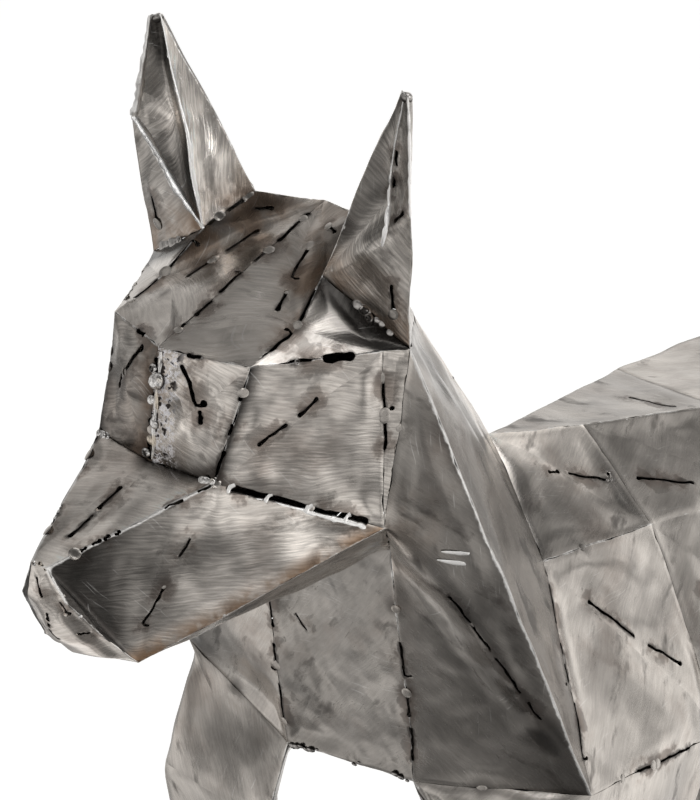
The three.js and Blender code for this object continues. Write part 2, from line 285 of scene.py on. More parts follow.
@dataclass
class HandWork:
    """What hand work leaves out of true, on every piece: a slight sway, and corners ground round."""

    texture: bpy.types.Texture
    rounded: list[tuple[Vector, float, Vector]]
    reach: float = 2.4 * MM

    def leave(self, piece: Piece) -> None:
        """Pull a piece out of true."""
        spots = points_of(piece.data)
        for at, width, move in self.rounded:
            gap = np.clip(np.linalg.norm(spots - np.array(at), axis=1) / width, 0, 1)
            spots += (1 - eased(gap))[:, None] * np.array(move)
        piece.data.vertices.foreach_set("co", spots.astype(np.float32).ravel())
        modify(
            piece, "DISPLACE", texture=self.texture, texture_coords="LOCAL", direction="RGB_TO_XYZ",
            strength=self.reach, mid_level=0.5,
        )


# Finishes


class NodeBoard:
    """The nodes of a material or a world, with short ways to add them and wire them."""

    def __init__(self, owner: Finish | bpy.types.World) -> None:
        """Start with no nodes.

        Args:
            owner: what the nodes belong to.
        """
        owner.use_nodes = True
        self.owner = owner
        self.tree = owner.node_tree
        self.tree.nodes.clear()

    def add(self, kind: str, **inputs: object) -> bpy.types.Node:
        """Add a node and fill its sockets.

        Args:
            kind: the node's type name, without its prefix.
            inputs: values or sockets by socket name, with spaces as underscores.

        Returns:
            The node.
        """
        node = self.tree.nodes.new("ShaderNode" + kind)
        for name, value in inputs.items():
            self.feed(node.inputs[name.replace("_", " ")], value)
        return node

    def feed(self, socket: Socket, value: object) -> None:
        """Link a socket, or set its value."""
        if isinstance(value, Socket):
            self.tree.links.new(value, socket)
        else:
            socket.default_value = value

    def math(self, way: str, a: object, b: object = 0.0, clamp: bool = False) -> Socket:
        """Do one sum on two numbers.

        Args:
            way: the sum, such as MULTIPLY.
            a: the first number or socket.
            b: the second number or socket.
            clamp: keep the result between 0 and 1.

        Returns:
            The result's socket.
        """
        node = self.tree.nodes.new("ShaderNodeMath")
        node.operation = way
        node.use_clamp = clamp
        self.feed(node.inputs[0], a)
        self.feed(node.inputs[1], b)
        return node.outputs[0]

    def times(self, a: object, b: object, clamp: bool = False) -> Socket:
        """Multiply two numbers."""
        return self.math("MULTIPLY", a, b, clamp)

    def plus(self, a: object, b: object) -> Socket:
        """Add two numbers."""
        return self.math("ADD", a, b)

    def most(self, first: object, *others: object) -> Socket:
        """Find the largest of some numbers.

        Args:
            first: the first number or socket.
            others: the rest of them.

        Returns:
            The result's socket.
        """
        largest = first
        for other in others:
            largest = self.math("MAXIMUM", largest, other)
        return largest

    def swing(self, noise: object, width: float) -> Socket:
        """Turn noise between 0 and 1 into a swing of this width about 0."""
        return self.times(self.math("SUBTRACT", noise, 0.5), width)

    def span(self, value: object, low: float, high: float, at_low: float, at_high: float) -> Socket:
        """Ease a number from one range into another.

        Args:
            value: the number's socket.
            low: where the range starts.
            high: where the range ends.
            at_low: the result at the start.
            at_high: the result at the end.

        Returns:
            The result's socket.
        """
        node = self.tree.nodes.new("ShaderNodeMapRange")
        node.interpolation_type = "SMOOTHSTEP"
        for socket, item in zip(node.inputs, (value, low, high, at_low, at_high)):
            self.feed(socket, item)
        return node.outputs[0]

    def blend(self, share: object, a: object, b: object, way: str = "MIX") -> Socket:
        """Blend two colours.

        Args:
            share: how much of the second colour.
            a: the first colour or socket.
            b: the second colour or socket.
            way: the blend type.

        Returns:
            The colour's socket.
        """
        node = self.tree.nodes.new("ShaderNodeMix")
        node.data_type = "RGBA"
        node.blend_type = way
        self.feed(node.inputs[0], share)
        self.feed(node.inputs[6], a)
        self.feed(node.inputs[7], b)
        return node.outputs[2]

    def noise(self, where: object, scale: float, detail: float = 2.0, rough: float = 0.5) -> Socket:
        """Add cloudy noise.

        Args:
            where: the coordinates.
            scale: how fine it is, per metre.
            detail: how many finer layers it has.
            rough: how strong the finer layers are.

        Returns:
            The noise's value, from 0 to 1.
        """
        node = self.add("TexNoise", Vector=where, Scale=scale, Detail=detail, Roughness=rough)
        return node.outputs[0]

    def streaks(self, where: object, along: float, across: float, detail: float, rough: float) -> Socket:
        """Add noise drawn out into streaks.

        Args:
            where: the coordinates along and across the streaks.
            along: how fine it is along them, per metre.
            across: how fine it is across them, per metre.
            detail: how many finer layers it has.
            rough: how strong the finer layers are.

        Returns:
            The noise's value, from 0 to 1.
        """
        stretched = self.add("Mapping", Vector=where, Scale=(along, across, 1.0))
        return self.noise(stretched.outputs[0], 1.0, detail, rough)

    def attribute(self, name: str) -> Socket:
        """Read one of the piece's own number attributes."""
        node = self.tree.nodes.new("ShaderNodeAttribute")
        node.attribute_name = name
        return node.outputs["Fac"]

    def metal(self, colour: object, rough: object, height: object, relief: float) -> bpy.types.Node:
        """Add bare metal with low relief.

        Args:
            colour: the colour's socket.
            rough: the roughness's socket.
            height: the relief's socket.
            relief: how strong the relief is.

        Returns:
            The shader's node.
        """
        bump = self.add("Bump", Strength=relief, Distance=0.5 * MM, Height=height)
        shader = self.add("BsdfPrincipled", Base_Color=colour, Roughness=rough, Normal=bump.outputs[0])
        shader.inputs["Metallic"].default_value = 1.0
        return shader

    def finish(self, shader: bpy.types.Node, output: str = "OutputMaterial") -> bpy.types.ID:
        """Wire the shader to the output and hand the material or world over."""
        self.add(output, Surface=shader.outputs[0])
        return self.owner


@dataclass(frozen=True)
class GroundSteel:
    """Bare steel ground with a flap disc: ripples along the grain, heat tints, soot and bright edges,
    lightened or darkened by the tone mark, which holds painted shade and painted highlights.
    """

    name: str
    steel: Tint = (0.572, 0.537, 0.500, 1.0)
    warm: Tint = (0.36, 0.30, 0.262, 1.0)
    soot: Tint = (0.040, 0.034, 0.031, 1.0)
    bright: Tint = (0.90, 0.89, 0.875, 1.0)
    frost: Tint = (0.86, 0.845, 0.87, 1.0)
    rust: Tint = (0.27, 0.165, 0.095, 1.0)
    gloss: float = 0.20
    anisotropy: float = 0.6
    ripple: float = 0.34
    tone_and_shade_step: float = 0.22
    darkest: float = 0.12

    def build(self) -> Finish:
        """Wire the finish.

        Returns:
            The material.
        """
        b = NodeBoard(bpy.data.materials.new(self.name))
        place = b.add("TexCoord").outputs["Object"]
        grain = self.grain(b, place)
        ripple = b.streaks(grain, 62.0, 540.0, 1.5, 0.5)
        band = b.streaks(grain, 13.0, 46.0, 3.0, 0.55)
        fine = b.streaks(grain, 150.0, 2600.0, 1.5, 0.6)
        cloud = b.noise(place, 17.0, 2.5, 0.5)
        grit = b.noise(place, 260.0, 4.0, 0.7)
        blotch = b.noise(place, 42.0, 4.0, 0.6)
        burnt = b.attribute("burn")
        frosted = b.attribute(Mark.FROST.value)
        near = b.plus(burnt, b.swing(b.noise(place, 110.0, 4.0, 0.62), 0.009))
        rim = b.plus(b.attribute("rim"), b.swing(b.noise(place, 130.0, 3.0, 0.6), 0.0034))

        heat = b.times(b.span(near, 0.001, 0.012, 0.8, 0.0), b.span(blotch, 0.44, 0.6, 0.0, 1.0))
        patch = b.span(b.noise(place, 12.0, 5.0, 0.62), 0.5, 0.74, 0.0, 0.6)
        colour = b.blend(b.most(patch, heat), self.steel, self.warm)
        lines = b.span(ripple, 0.32, 0.68, 1.0 - 0.46 * self.ripple, 1.0 + 0.32 * self.ripple)
        shade = b.times(lines, b.span(cloud, 0.28, 0.72, 0.84, 1.11))
        shade = b.times(shade, b.span(band, 0.32, 0.68, 0.83, 1.10))
        # Painted shade and painted highlights: the tone mark darkens the steel's colour where a plate lies in
        # shade and lightens it where it catches light, on top of its random tone.
        tone = b.plus(b.times(b.attribute(Mark.TONE.value), self.tone_and_shade_step), 1.0)
        shade = b.times(shade, b.most(tone, self.darkest))
        grey = b.add("CombineColor", Red=shade, Green=shade, Blue=shade)
        colour = b.blend(1.0, colour, grey.outputs[0], "MULTIPLY")

        rust = b.times(b.attribute(Mark.RUST.value), b.span(blotch, 0.36, 0.56, 0.25, 1.0), clamp=True)
        colour = b.blend(rust, colour, self.rust)
        speck = b.span(b.noise(place, 300.0, 4.0, 0.7), 0.46, 0.6, 0.0, 1.0)
        frost = b.times(frosted, b.times(speck, cloud), clamp=True)
        colour = b.blend(b.times(frost, 2.0, clamp=True), colour, self.frost)
        skew = b.add("VectorRotate", Vector=grain, Angle=0.7).outputs[0]
        scratch = b.span(b.streaks(skew, 28.0, 820.0, 2.0, 0.55), 0.62, 0.7, 0.0, 0.27)
        scratch = b.times(scratch, b.span(b.noise(place, 26.0), 0.42, 0.6, 0.0, 1.0))
        colour = b.blend(scratch, colour, self.bright)

        # Near black on slit walls, and on the one-sided rim line of ground tacks, which is a painted shadow.
        wall = b.span(burnt, 0.0, 0.0007, 0.97, 0.0)
        soot = b.span(near, 0.0, 0.0026, 0.75, 0.0)
        smear = b.span(b.streaks(grain, 18.0, 46.0, 5.0, 0.6), 0.55, 0.7, 0.0, 0.66)
        weld = b.span(b.attribute("tack"), 0.003, 0.014, 0.6, 0.0)
        weld = b.times(weld, b.span(blotch, 0.45, 0.6, 0.0, 1.0))
        isles = b.math("SUBTRACT", blotch, b.times(burnt, 15.0))
        isles = b.span(isles, 0.45, 0.51, 0.0, 0.36)
        pits = b.span(b.noise(place, 150.0, 3.0, 0.6), 0.54, 0.62, 0.0, 0.9)
        dark = b.most(wall, soot, smear, weld, isles, b.times(pits, frosted, clamp=True))
        colour = b.blend(dark, colour, self.soot)
        colour = b.blend(b.span(rim, 0.0007, 0.0021, 0.9, 0.0), colour, self.bright)

        worn = b.most(dark, frost)
        rough = b.plus(b.plus(self.gloss, b.swing(fine, 0.16)), b.swing(cloud, 0.12))
        rough = b.most(b.plus(rough, b.times(worn, 0.2)), 0.1)
        height = b.plus(b.times(ripple, 2.4 * self.ripple), b.times(fine, 0.16))
        height = b.plus(height, b.times(b.times(grit, worn), 0.8))
        along = b.add("Tangent")
        along.direction_type = "UV_MAP"
        along.uv_map = UV_GRAIN
        shader = b.metal(colour, rough, height, 0.34)
        shader.inputs["Anisotropic"].default_value = self.anisotropy
        shader.inputs["Anisotropic Rotation"].default_value = 0.25
        b.feed(shader.inputs["Tangent"], along.outputs[0])
        return b.finish(shader)

    def grain(self, b: NodeBoard, place: Socket) -> Socket:
        """Read the plate's grain map, swayed a little as the hand sways the disc.

        Args:
            b: the finish's nodes.
            place: where the spot is.

        Returns:
            The coordinates along and across the grain.
        """
        grain_map = b.add("UVMap")
        grain_map.uv_map = UV_GRAIN
        drift = b.add("TexNoise", Vector=place, Scale=20.0, Detail=2.0)
        sway = b.add("VectorMath")
        sway.operation = "MULTIPLY_ADD"
        b.feed(sway.inputs[0], drift.outputs["Color"])
        b.feed(sway.inputs[1], (0.012, 0.012, 0.0))
        b.feed(sway.inputs[2], grain_map.outputs[0])
        return sway.outputs[0]


@dataclass(frozen=True)
class WeldMetal:
    """Weld metal: as light as the sheet where the disc touched it, darker round its foot and in its pits."""

    name: str
    bright: Tint = (0.50, 0.48, 0.462, 1.0)
    soot: Tint = (0.030, 0.026, 0.024, 1.0)
    straw: Tint = (0.56, 0.43, 0.26, 1.0)
    gloss: float = 0.28
    dirt: float = 0.5
    glaze: float = 0.0

    def build(self) -> Finish:
        """Wire the finish.

        Returns:
            The material.
        """
        b = NodeBoard(bpy.data.materials.new(self.name))
        place = b.add("TexCoord").outputs["Object"]
        cloud = b.noise(place, 90.0, 3.0, 0.6)
        grit = b.noise(place, 520.0, 3.0, 0.65)
        mixed = b.plus(b.times(cloud, 0.65), b.times(grit, 0.35))
        dark = b.most(b.span(mixed, 0.53, 0.68, 0.0, self.dirt), b.attribute("soot"))
        glaze = b.span(b.noise(place, 60.0), 0.5, 0.66, 0.0, self.glaze)
        colour = b.blend(dark, b.blend(glaze, self.bright, self.straw), self.soot)
        rough = b.plus(self.gloss, b.times(dark, 0.3))
        return b.finish(b.metal(colour, rough, grit, 0.22))


@dataclass(frozen=True)
class MillScale:
    """Hot rolled plate: blue grey scale, worn bright in patches and along its edges."""

    name: str
    scale: Tint = (0.085, 0.088, 0.095, 1.0)
    worn: Tint = (0.30, 0.285, 0.27, 1.0)
    rust: Tint = (0.16, 0.085, 0.05, 1.0)

    def build(self) -> Finish:
        """Wire the finish.

        Returns:
            The material.
        """
        b = NodeBoard(bpy.data.materials.new(self.name))
        place = b.add("TexCoord").outputs["Object"]
        cloud = b.noise(place, 9.0, 6.0, 0.62)
        fleck = b.noise(place, 70.0, 4.0, 0.65)
        brushed = b.streaks(place, 260.0, 14.0, 3.0, 0.6)
        wear = b.span(b.plus(b.times(cloud, 0.6), b.times(brushed, 0.4)), 0.46, 0.62, 0.0, 0.8)
        colour = b.blend(wear, self.scale, self.worn)
        colour = b.blend(b.span(fleck, 0.60, 0.74, 0.0, 0.5), colour, self.rust)
        rough = b.span(fleck, 0.2, 0.8, 0.36, 0.58)
        return b.finish(b.metal(colour, rough, fleck, 0.2))


@dataclass(frozen=True)
class FloorPaint:
    """The studio's plain white floor."""

    name: str
    white: Tint = (0.9, 0.9, 0.895, 1.0)
    glow: float = 0.72

    def build(self) -> Finish:
        """Wire the finish.

        Returns:
            The material.
        """
        b = NodeBoard(bpy.data.materials.new(self.name))
        shader = b.add("BsdfPrincipled", Roughness=0.9)
        shader.inputs["Base Color"].default_value = self.white
        shader.inputs["Specular IOR Level"].default_value = 0.0
        shader.inputs["Emission Color"].default_value = self.white
        shader.inputs["Emission Strength"].default_value = self.glow
        return b.finish(shader)


# Plates


@dataclass
class Slit:
    """A slit burnt through the sheet, in a plate or along a seam."""

    start: Vector
    end: Vector
    normal: Vector
    width: float
    on_seam: bool
    pitch: float = 3.6 * MM
    thin: float = 4.5 * MM
    long: float = 15 * MM
    hooked: float = 0.45

    def outline(self, rng: random.Random) -> list[Vector]:
        """Draw the slit's ragged edge.

        Args:
            rng: the source of its raggedness.

        Returns:
            The corners of the edge, in order.
        """
        along = (self.end - self.start).normalized()
        side = self.normal.cross(along).normalized()
        length = (self.end - self.start).length
        steps = max(4, round(length / self.pitch))
        half = self.width / 2
        narrow = self.width < self.thin
        low, high = (0.46, 0.82) if narrow else (0.7, 1.05)
        line, widths = [], []
        drift = 0.0
        for i in range(steps + 1):
            drift = 0.65 * drift + rng.uniform(-0.55, 0.55) * MM
            line.append(self.start + along * (length * i / steps) + side * drift)
            widths.append(half * rng.uniform(low, high))
        if narrow and length > self.long and rng.random() < self.hooked:
            turn = rng.choice((-1, 1))
            line.append(line[-1] + (along * 1.2 + side * turn * 2.4) * MM)
            line.append(line[-1] + (side * turn * 2.2 - along * 0.5) * MM)
            widths += [half * 0.62, half * 0.62]
        if rng.random() < 0.6:
            widths[-1] = half * rng.uniform(0.9, 1.3)
        if rng.random() < 0.5:
            widths[0] = half * rng.uniform(0.9, 1.2)
        ways = []
        for i in range(len(line)):
            ways.append((line[min(i + 1, len(line) - 1)] - line[max(i - 1, 0)]).normalized())
        lefts = [p + self.normal.cross(w) * h for p, w, h in zip(line, ways, widths)]
        rights = [p - self.normal.cross(w) * h for p, w, h in zip(line, ways, widths)]

        def cap(at: Vector, way: Vector, half_width: float) -> list[Vector]:
            """Round off one end, from its right to its left as seen along the way."""
            left = self.normal.cross(way)
            turns = (-0.28, 0.0, 0.28)
            return [
                at + way * half_width * math.cos(t * math.pi) + left * half_width * math.sin(t * math.pi)
                for t in turns
            ]

        return rights + cap(line[-1], ways[-1], widths[-1]) + lefts[::-1] + cap(line[0], -ways[0], widths[0])

    def cutter(self, rng: random.Random, above: float, below: float) -> Piece:
        """Model the bar that cuts this slit.

        Args:
            rng: the source of its raggedness.
            above: how far it stands out of the sheet.
            below: how far it reaches in.

        Returns:
            The bar.
        """
        edge = self.outline(rng)
        bpy.ops.object.select_all(action="DESELECT")
        bpy.ops.mesh.primitive_circle_add(vertices=len(edge), radius=self.width, fill_type="NGON")
        bar = bpy.context.object
        for vertex, spot in zip(bar.data.vertices, edge):
            vertex.co = spot + self.normal * above
        whole(bar)
        bpy.ops.mesh.extrude_region_move(TRANSFORM_OT_translate={"value": -self.normal * (above + below)})
        face_out()
        return bar


@dataclass
class Seam:
    """A line where two plates meet, or a fold inside one plate."""

    names: tuple[str, str]
    start: Vector
    end: Vector
    plates: list[str] = given([])
    normals: list[Vector] = given([])
    middles: list[Vector] = given([])
    place: Place = Place.HEAD
    bare: bool = False

    @property
    def normal(self) -> Vector:
        """The way the seam faces, halfway between its two sides."""
        total = Vector()
        for way in self.normals:
            total += way
        return total.normalized()

    @property
    def bend(self) -> float:
        """How far the two sides turn from one another, in degrees: over 0 on a ridge, under 0 in a valley."""
        if len(self.normals) < 2:
            return 0.0
        turn = math.degrees(self.normals[0].angle(self.normals[1], 0.0))
        ridge = self.normals[0].dot(self.middles[1] - self.middles[0]) < 0
        return turn if ridge else -turn

    def at(self, share: float) -> Vector:
        """Return the place a share of the way along."""
        return self.start.lerp(self.end, share)


@dataclass(frozen=True)
class Patch:
    """A stretch along a line where a plate differs from the rest of it: frost or rust, or painted shade and
    painted highlights.
    """

    mark: Mark
    start: Vector
    end: Vector
    reach: float
    amount: float


@dataclass
class SheetPlate:
    """One cut plate, from its corners to the dressed piece."""

    node: str
    place: Place
    facets: list[tuple[Vector, Vector, Vector]]
    grain: Vector
    cell: float
    buckle: float
    sheet: float = 2.0 * MM
    rim: float = 0.22
    taper: float = 6.0 * MM
    most_faces: int = 7000
    soften: int = 20
    swell: float = 0.048
    ripple: float = 0.34
    gloss: float = 0.2
    ragged: float = 1.2
    bulge: float = 0.0
    knocks: float = 0.07
    arris: float = 0.4 * MM
    fold_reach: float = 7 * MM
    free_reach: float = 16 * MM
    drawn_back: float = 0.12
    whole_end: float = 1.5 * MM
    heed: float = 40 * MM
    ridge_wear: float = 1.2 * MM
    slit_half: float = 1.0 * MM
    piece: Piece | None = None
    outline: list[Seam] = given([])
    ridges: list[Seam] = given([])
    polished: list[tuple[Vector, Vector]] = given([])
    crisp: list[tuple[Vector, Vector]] = given([])

    def lay_out(self) -> None:
        """Lay the plate's facets out as one sheet, each a flat sheet moved to its three corners."""
        parts = []
        for facet in self.facets:
            bpy.ops.object.select_all(action="DESELECT")
            bpy.ops.mesh.primitive_circle_add(vertices=3, radius=0.01, fill_type="NGON")
            part = bpy.context.object
            face = part.data.polygons[0]
            for index, spot in zip(face.vertices, facet):
                part.data.vertices[index].co = spot
            parts.append(part)
        self.piece = join(parts, self.node + "_sheet")
        strip_maps(self.piece.data)
        whole(self.piece)
        bpy.ops.mesh.remove_doubles(threshold=0.02 * MM)
        done()

    def lay_grain(self) -> None:
        """Lay the grain on each flat facet, as a map in metres."""
        mesh = self.piece.data
        layer = mesh.uv_layers.new(name=UV_GRAIN)
        for face in mesh.polygons:
            u_way = self.grain - face.normal * self.grain.dot(face.normal)
            if u_way.length < 0.05:
                u_way = face.normal.orthogonal()
            u_way.normalize()
            v_way = face.normal.cross(u_way)
            for i in face.loop_indices:
                spot = mesh.vertices[mesh.loops[i].vertex_index].co
                layer.data[i].uv = (spot.dot(u_way), spot.dot(v_way))

    def refine(self) -> None:
        """Divide every facet into small triangles, none much longer than the cell where the count allows."""
        mesh = self.piece.data
        spots = points_of(mesh)
        longest = max(np.linalg.norm(spots[e.vertices[0]] - spots[e.vertices[1]]) for e in mesh.edges)
        parts = min(math.ceil(longest / self.cell), int(math.sqrt(self.most_faces / len(mesh.polygons))))
        whole(self.piece)
        bpy.ops.mesh.subdivide(number_cuts=parts - 1)
        bpy.ops.mesh.quads_convert_to_tris(quad_method="BEAUTY", ngon_method="BEAUTY")
        done()

    def rim_lines(self) -> list[tuple[Vector, Vector]]:
        """Return the outline's straight lines."""
        return [(seam.start, seam.end) for seam in self.outline]

    def weigh(self, name: str, low: float, reach: float, folds: bool = False) -> None:
        """Weigh the sheet's vertices by how far they are from its outline.

        Args:
            name: the weights' name.
            low: the weight on the outline.
            reach: how far in the weight comes to 1.
            folds: whether the crisp folds count as outline.
        """
        group = self.piece.vertex_groups.new(name=name)
        lines = self.rim_lines() + (self.crisp if folds else [])
        gap = far_from(points_of(self.piece.data), lines, reach) / reach
        weights = low + (1 - low) * eased(gap)
        for i, weight in enumerate(weights.tolist()):
            group.add([i], weight, "REPLACE")

    def dent(self, swell: bpy.types.Texture, dings: bpy.types.Texture) -> None:
        """Round the folds and buckle the sheet between its seams.

        Args:
            swell: the broad unevenness.
            dings: the smaller knocks.
        """
        self.weigh("fold", 0.0, self.fold_reach, True)
        self.weigh("free", 0.0, self.free_reach)
        if self.soften:
            modify(self.piece, "SMOOTH", factor=0.5, iterations=self.soften, vertex_group="fold")
        knocks = self.buckle * self.knocks
        for texture, strength in ((None, self.bulge), (swell, self.buckle), (dings, knocks)):
            if strength:
                modify(
                    self.piece, "DISPLACE", texture=texture, texture_coords="LOCAL", strength=strength,
                    mid_level=0.5 if texture else 0.0, vertex_group="free",
                )

    def fray(self) -> None:
        """Draw the outline back unevenly, as the torch left it, so that the seams gape here and there."""
        mesh = self.piece.data
        spots = points_of(mesh)
        for seam in self.outline:
            side = seam.plates.index(self.node)
            along = (seam.end - seam.start).normalized()
            inward = seam.middles[side] - seam.start
            inward = (inward - along * inward.dot(along)).normalized()
            rng = random.Random(f"fray {self.node} {seam.names}")
            on_line = far_from(spots, [(seam.start, seam.end)], 1.0) < 0.01 * MM
            length = (seam.end - seam.start).length
            waves = [(rng.uniform(60, 420), rng.uniform(0, math.tau)) for _ in range(4)]
            for i in np.nonzero(on_line)[0].tolist():
                t = (Vector(spots[i]) - seam.start).length
                if min(t, length - t) < self.whole_end:
                    continue
                lift = sum(math.sin(t * pitch + phase) for pitch, phase in waves) / 4
                mesh.vertices[i].co += inward * (self.drawn_back + self.ragged * max(0.0, lift) ** 1.5) * MM

    def thicken(self) -> None:
        """Give the sheet its thickness, inwards, thinner along the outline where it is ground down."""
        self.weigh("wall", self.rim, self.taper)
        modify(
            self.piece, "SOLIDIFY", thickness=self.sheet, offset=-1.0, use_even_offset=False,
            vertex_group="wall",
        )
        self.piece.vertex_groups.clear()

    def burn(self, slits: list[Slit], reach: float) -> None:
        """Cut ragged slits through the sheet.

        Args:
            slits: the slits to cut.
            reach: how far the cutting bars stand out and reach in.
        """
        bars = [
            slit.cutter(seeded("", slit.start, slit.end), reach, reach + self.sheet) for slit in slits
        ]
        if not bars:
            return
        bar = join(bars, self.node + "_bars")
        modify(self.piece, "BOOLEAN", operation="DIFFERENCE", solver="MANIFOLD", object=bar)
        bpy.data.objects.remove(bar)

    def ease(self) -> None:
        """Round the cut edges a little and smooth the shading between them."""
        modify(
            self.piece, "BEVEL", width=self.arris, segments=2, limit_method="ANGLE",
            angle_limit=math.radians(50), use_clamp_overlap=True,
        )
        smooth(self.piece, 28)

    def mark(self, slits: list[Slit], tacks: list[Vector], tone: float, patches: list[Patch]) -> None:
        """Write how far each spot is from a ridge, a slit and a tack, for the finish to read.

        Args:
            slits: the slits near the plate.
            tacks: the weld tacks near the plate.
            tone: how light or dark the plate is, partly painted shade or highlight.
            patches: places where it differs, painted shade and highlights among them.
        """
        mesh = self.piece.data
        spots = points_of(mesh)
        rim = far_from(spots, [(r.start, r.end) for r in self.ridges], self.heed) + self.ridge_wear
        slots = far_from(spots, [(s.start, s.end) for s in slits], self.heed) - self.slit_half
        measures = {
            "rim": np.minimum(rim, far_from(spots, self.polished, self.heed)),
            "burn": np.maximum(slots, 0),
            "tack": far_from(spots, [(t, t) for t in tacks], self.heed),
        }
        for kind in Mark:
            total = np.full(len(spots), tone if kind is Mark.TONE else 0.0)
            for patch in patches:
                if patch.mark is kind:
                    gap = far_from(spots, [(patch.start, patch.end)], patch.reach) / patch.reach
                    total += patch.amount * (1 - eased(gap))
            measures[kind.value] = total
        for name, values in measures.items():
            write(mesh, name, values)

    def dress(self, finish: Finish) -> None:
        """Give the plate its finish and set it in the frame.

        Args:
            finish: the plate's material.
        """
        self.piece.data.materials.clear()
        self.piece.data.materials.append(finish)
        hand_over(self.piece, self.node)


# The dog's sub-assemblies


@dataclass
class PlateGroup:
    """A sub-assembly's plates. Corners are out from the centre plane, back and up from the stop, in mm."""

    place: Place
    cell: float
    buckle: float
    soften: int = 20
    swell: float = 0.048
    ripple: float = 0.34
    gloss: float = 0.2
    most_faces: int = 7000
    calm: tuple[str, ...] = ()
    knocks: dict[str, float] = given({})
    softer: dict[str, int] = given({})
    bulges: dict[str, float] = given({})
    crisp: tuple[tuple[str, str], ...] = ()
    corners: dict[str, Spot] = given({})
    right: dict[str, Spot] = given({})
    pairs: dict[str, Facets] = given({})
    centres: dict[str, Facets] = given({})
    grain: Spot = (0.35, 0.9, -0.2)
    grains: dict[str, Spot] = given({})
    calm_buckle: float = 0.5
    calm_ripple: float = 0.2

    def set_corners(self, cage: "Cage") -> None:
        """Put the group's corners into the cage."""
        for name, spot in self.corners.items():
            cage.put(name, spot, self.right.get(name, spot))

    def grain_of(self, name: str, side: int) -> Vector:
        """Return which way a plate is ground, on the left (1) or the right (-1)."""
        way = Vector(self.grains.get(name, self.grain)).normalized()
        return Vector((way.x * side, way.y, way.z))


@dataclass
class Cage:
    """Every corner of the dog by name, in metres; a name that ends in R is on the dog's right side."""

    stop_back: float = -487.0
    stop_up: float = 776.0
    spots: dict[str, Vector] = given({})

    def put(self, name: str, left: Spot, right: Spot) -> None:
        """Set one corner on both sides."""
        self.spots[name] = Vector((left[0], self.stop_back + left[1], self.stop_up + left[2])) * MM
        self.spots[name + "R"] = Vector((-right[0], self.stop_back + right[1], self.stop_up + right[2])) * MM

    def plain(self, name: str) -> str:
        """Name a corner on the centre plane the same way from both sides."""
        if name.endswith("R") and abs(self.spots[name].x) < 1e-6:
            return name[:-1]
        return name


def other_side(name: str) -> str:
    """Name the same corner on the dog's other side."""
    return name[:-1] if name.endswith("R") else name + "R"


@dataclass
class Head(PlateGroup):
    """The head's plates, from nose cap to cheek strap."""

    place: Place = Place.HEAD
    cell: float = 3.4 * MM
    buckle: float = 7.0 * MM
    soften: int = 45
    swell: float = 0.066
    ripple: float = 0.44
    corners: dict[str, Spot] = given({
        "noseTop": (6.5, -94, -30), "noseSide": (17, -89, -53), "noseLow": (25, -68, -82),
        "chin": (29, -43, -113), "stop": (0, 0, 0), "underEye": (49, 7, 1), "browMid": (0, 12, 74),
        "brow": (57, 31, 72), "eye": (27, 5, 38), "temple": (57, 70, 81), "occiput": (0, 163, 119),
        "cheekTop": (99, 104, 69), "jaw": (95, 112, -60),
    })
    right: dict[str, Spot] = given({"noseLow": (24, -75, -101), "chin": (28, -49, -125)})
    pairs: dict[str, Facets] = given({
        "muzzle_side": ["noseTop noseSide noseLow", "noseTop noseLow chin underEye", "underEye chin jaw"],
        "eye_plate": ["browMid eye brow", "brow eye underEye", "underEye eye stop", "stop eye browMid"],
        "crown": [
            "browMid brow temple", "browMid temple occiput", "temple earFront occiput",
            "earFront earInner occiput",
        ],
        "temple": ["brow cheekTop temple", "temple cheekTop earFront", "cheekTop earOuter earFront"],
        "cheek": ["brow underEye cheekTop", "underEye jaw cheekTop"],
        "cheek_strap": ["cheekTop jaw earOuter"],
    })
    centres: dict[str, Facets] = given({
        "nose_cap": [
            "noseTop noseTopR noseSideR noseSide", "noseSide noseSideR noseLowR noseLow",
            "noseLow noseLowR chinR chin",
        ],
        "muzzle_top": ["noseTop underEye stop", "noseTop stop noseTopR", "noseTopR stop underEyeR"],
        "jaw_underside": ["chin chinR throatTopR throatTop", "chin throatTop jaw", "chinR jawR throatTopR"],
    })
    calm: tuple[str, ...] = ("crown", "nose_cap", "muzzle_top", "temple")
    softer: dict[str, int] = given({"crown": 900, "temple": 700, "muzzle_top": 500, "nose_cap": 70})
    bulges: dict[str, float] = given({"nose_cap": 4.2 * MM})
    grain: Spot = (0.42, 0.9, -0.21)
    grains: dict[str, Spot] = given({
        "crown": (0.8, 0.6, 0.04), "temple": (0.3, 0.9, 0.3), "eye_plate": (0.8, 0.2, -0.3),
        "muzzle_top": (0.9, 0.3, 0.1), "nose_cap": (0.9, 0.0, 0.3),
    })


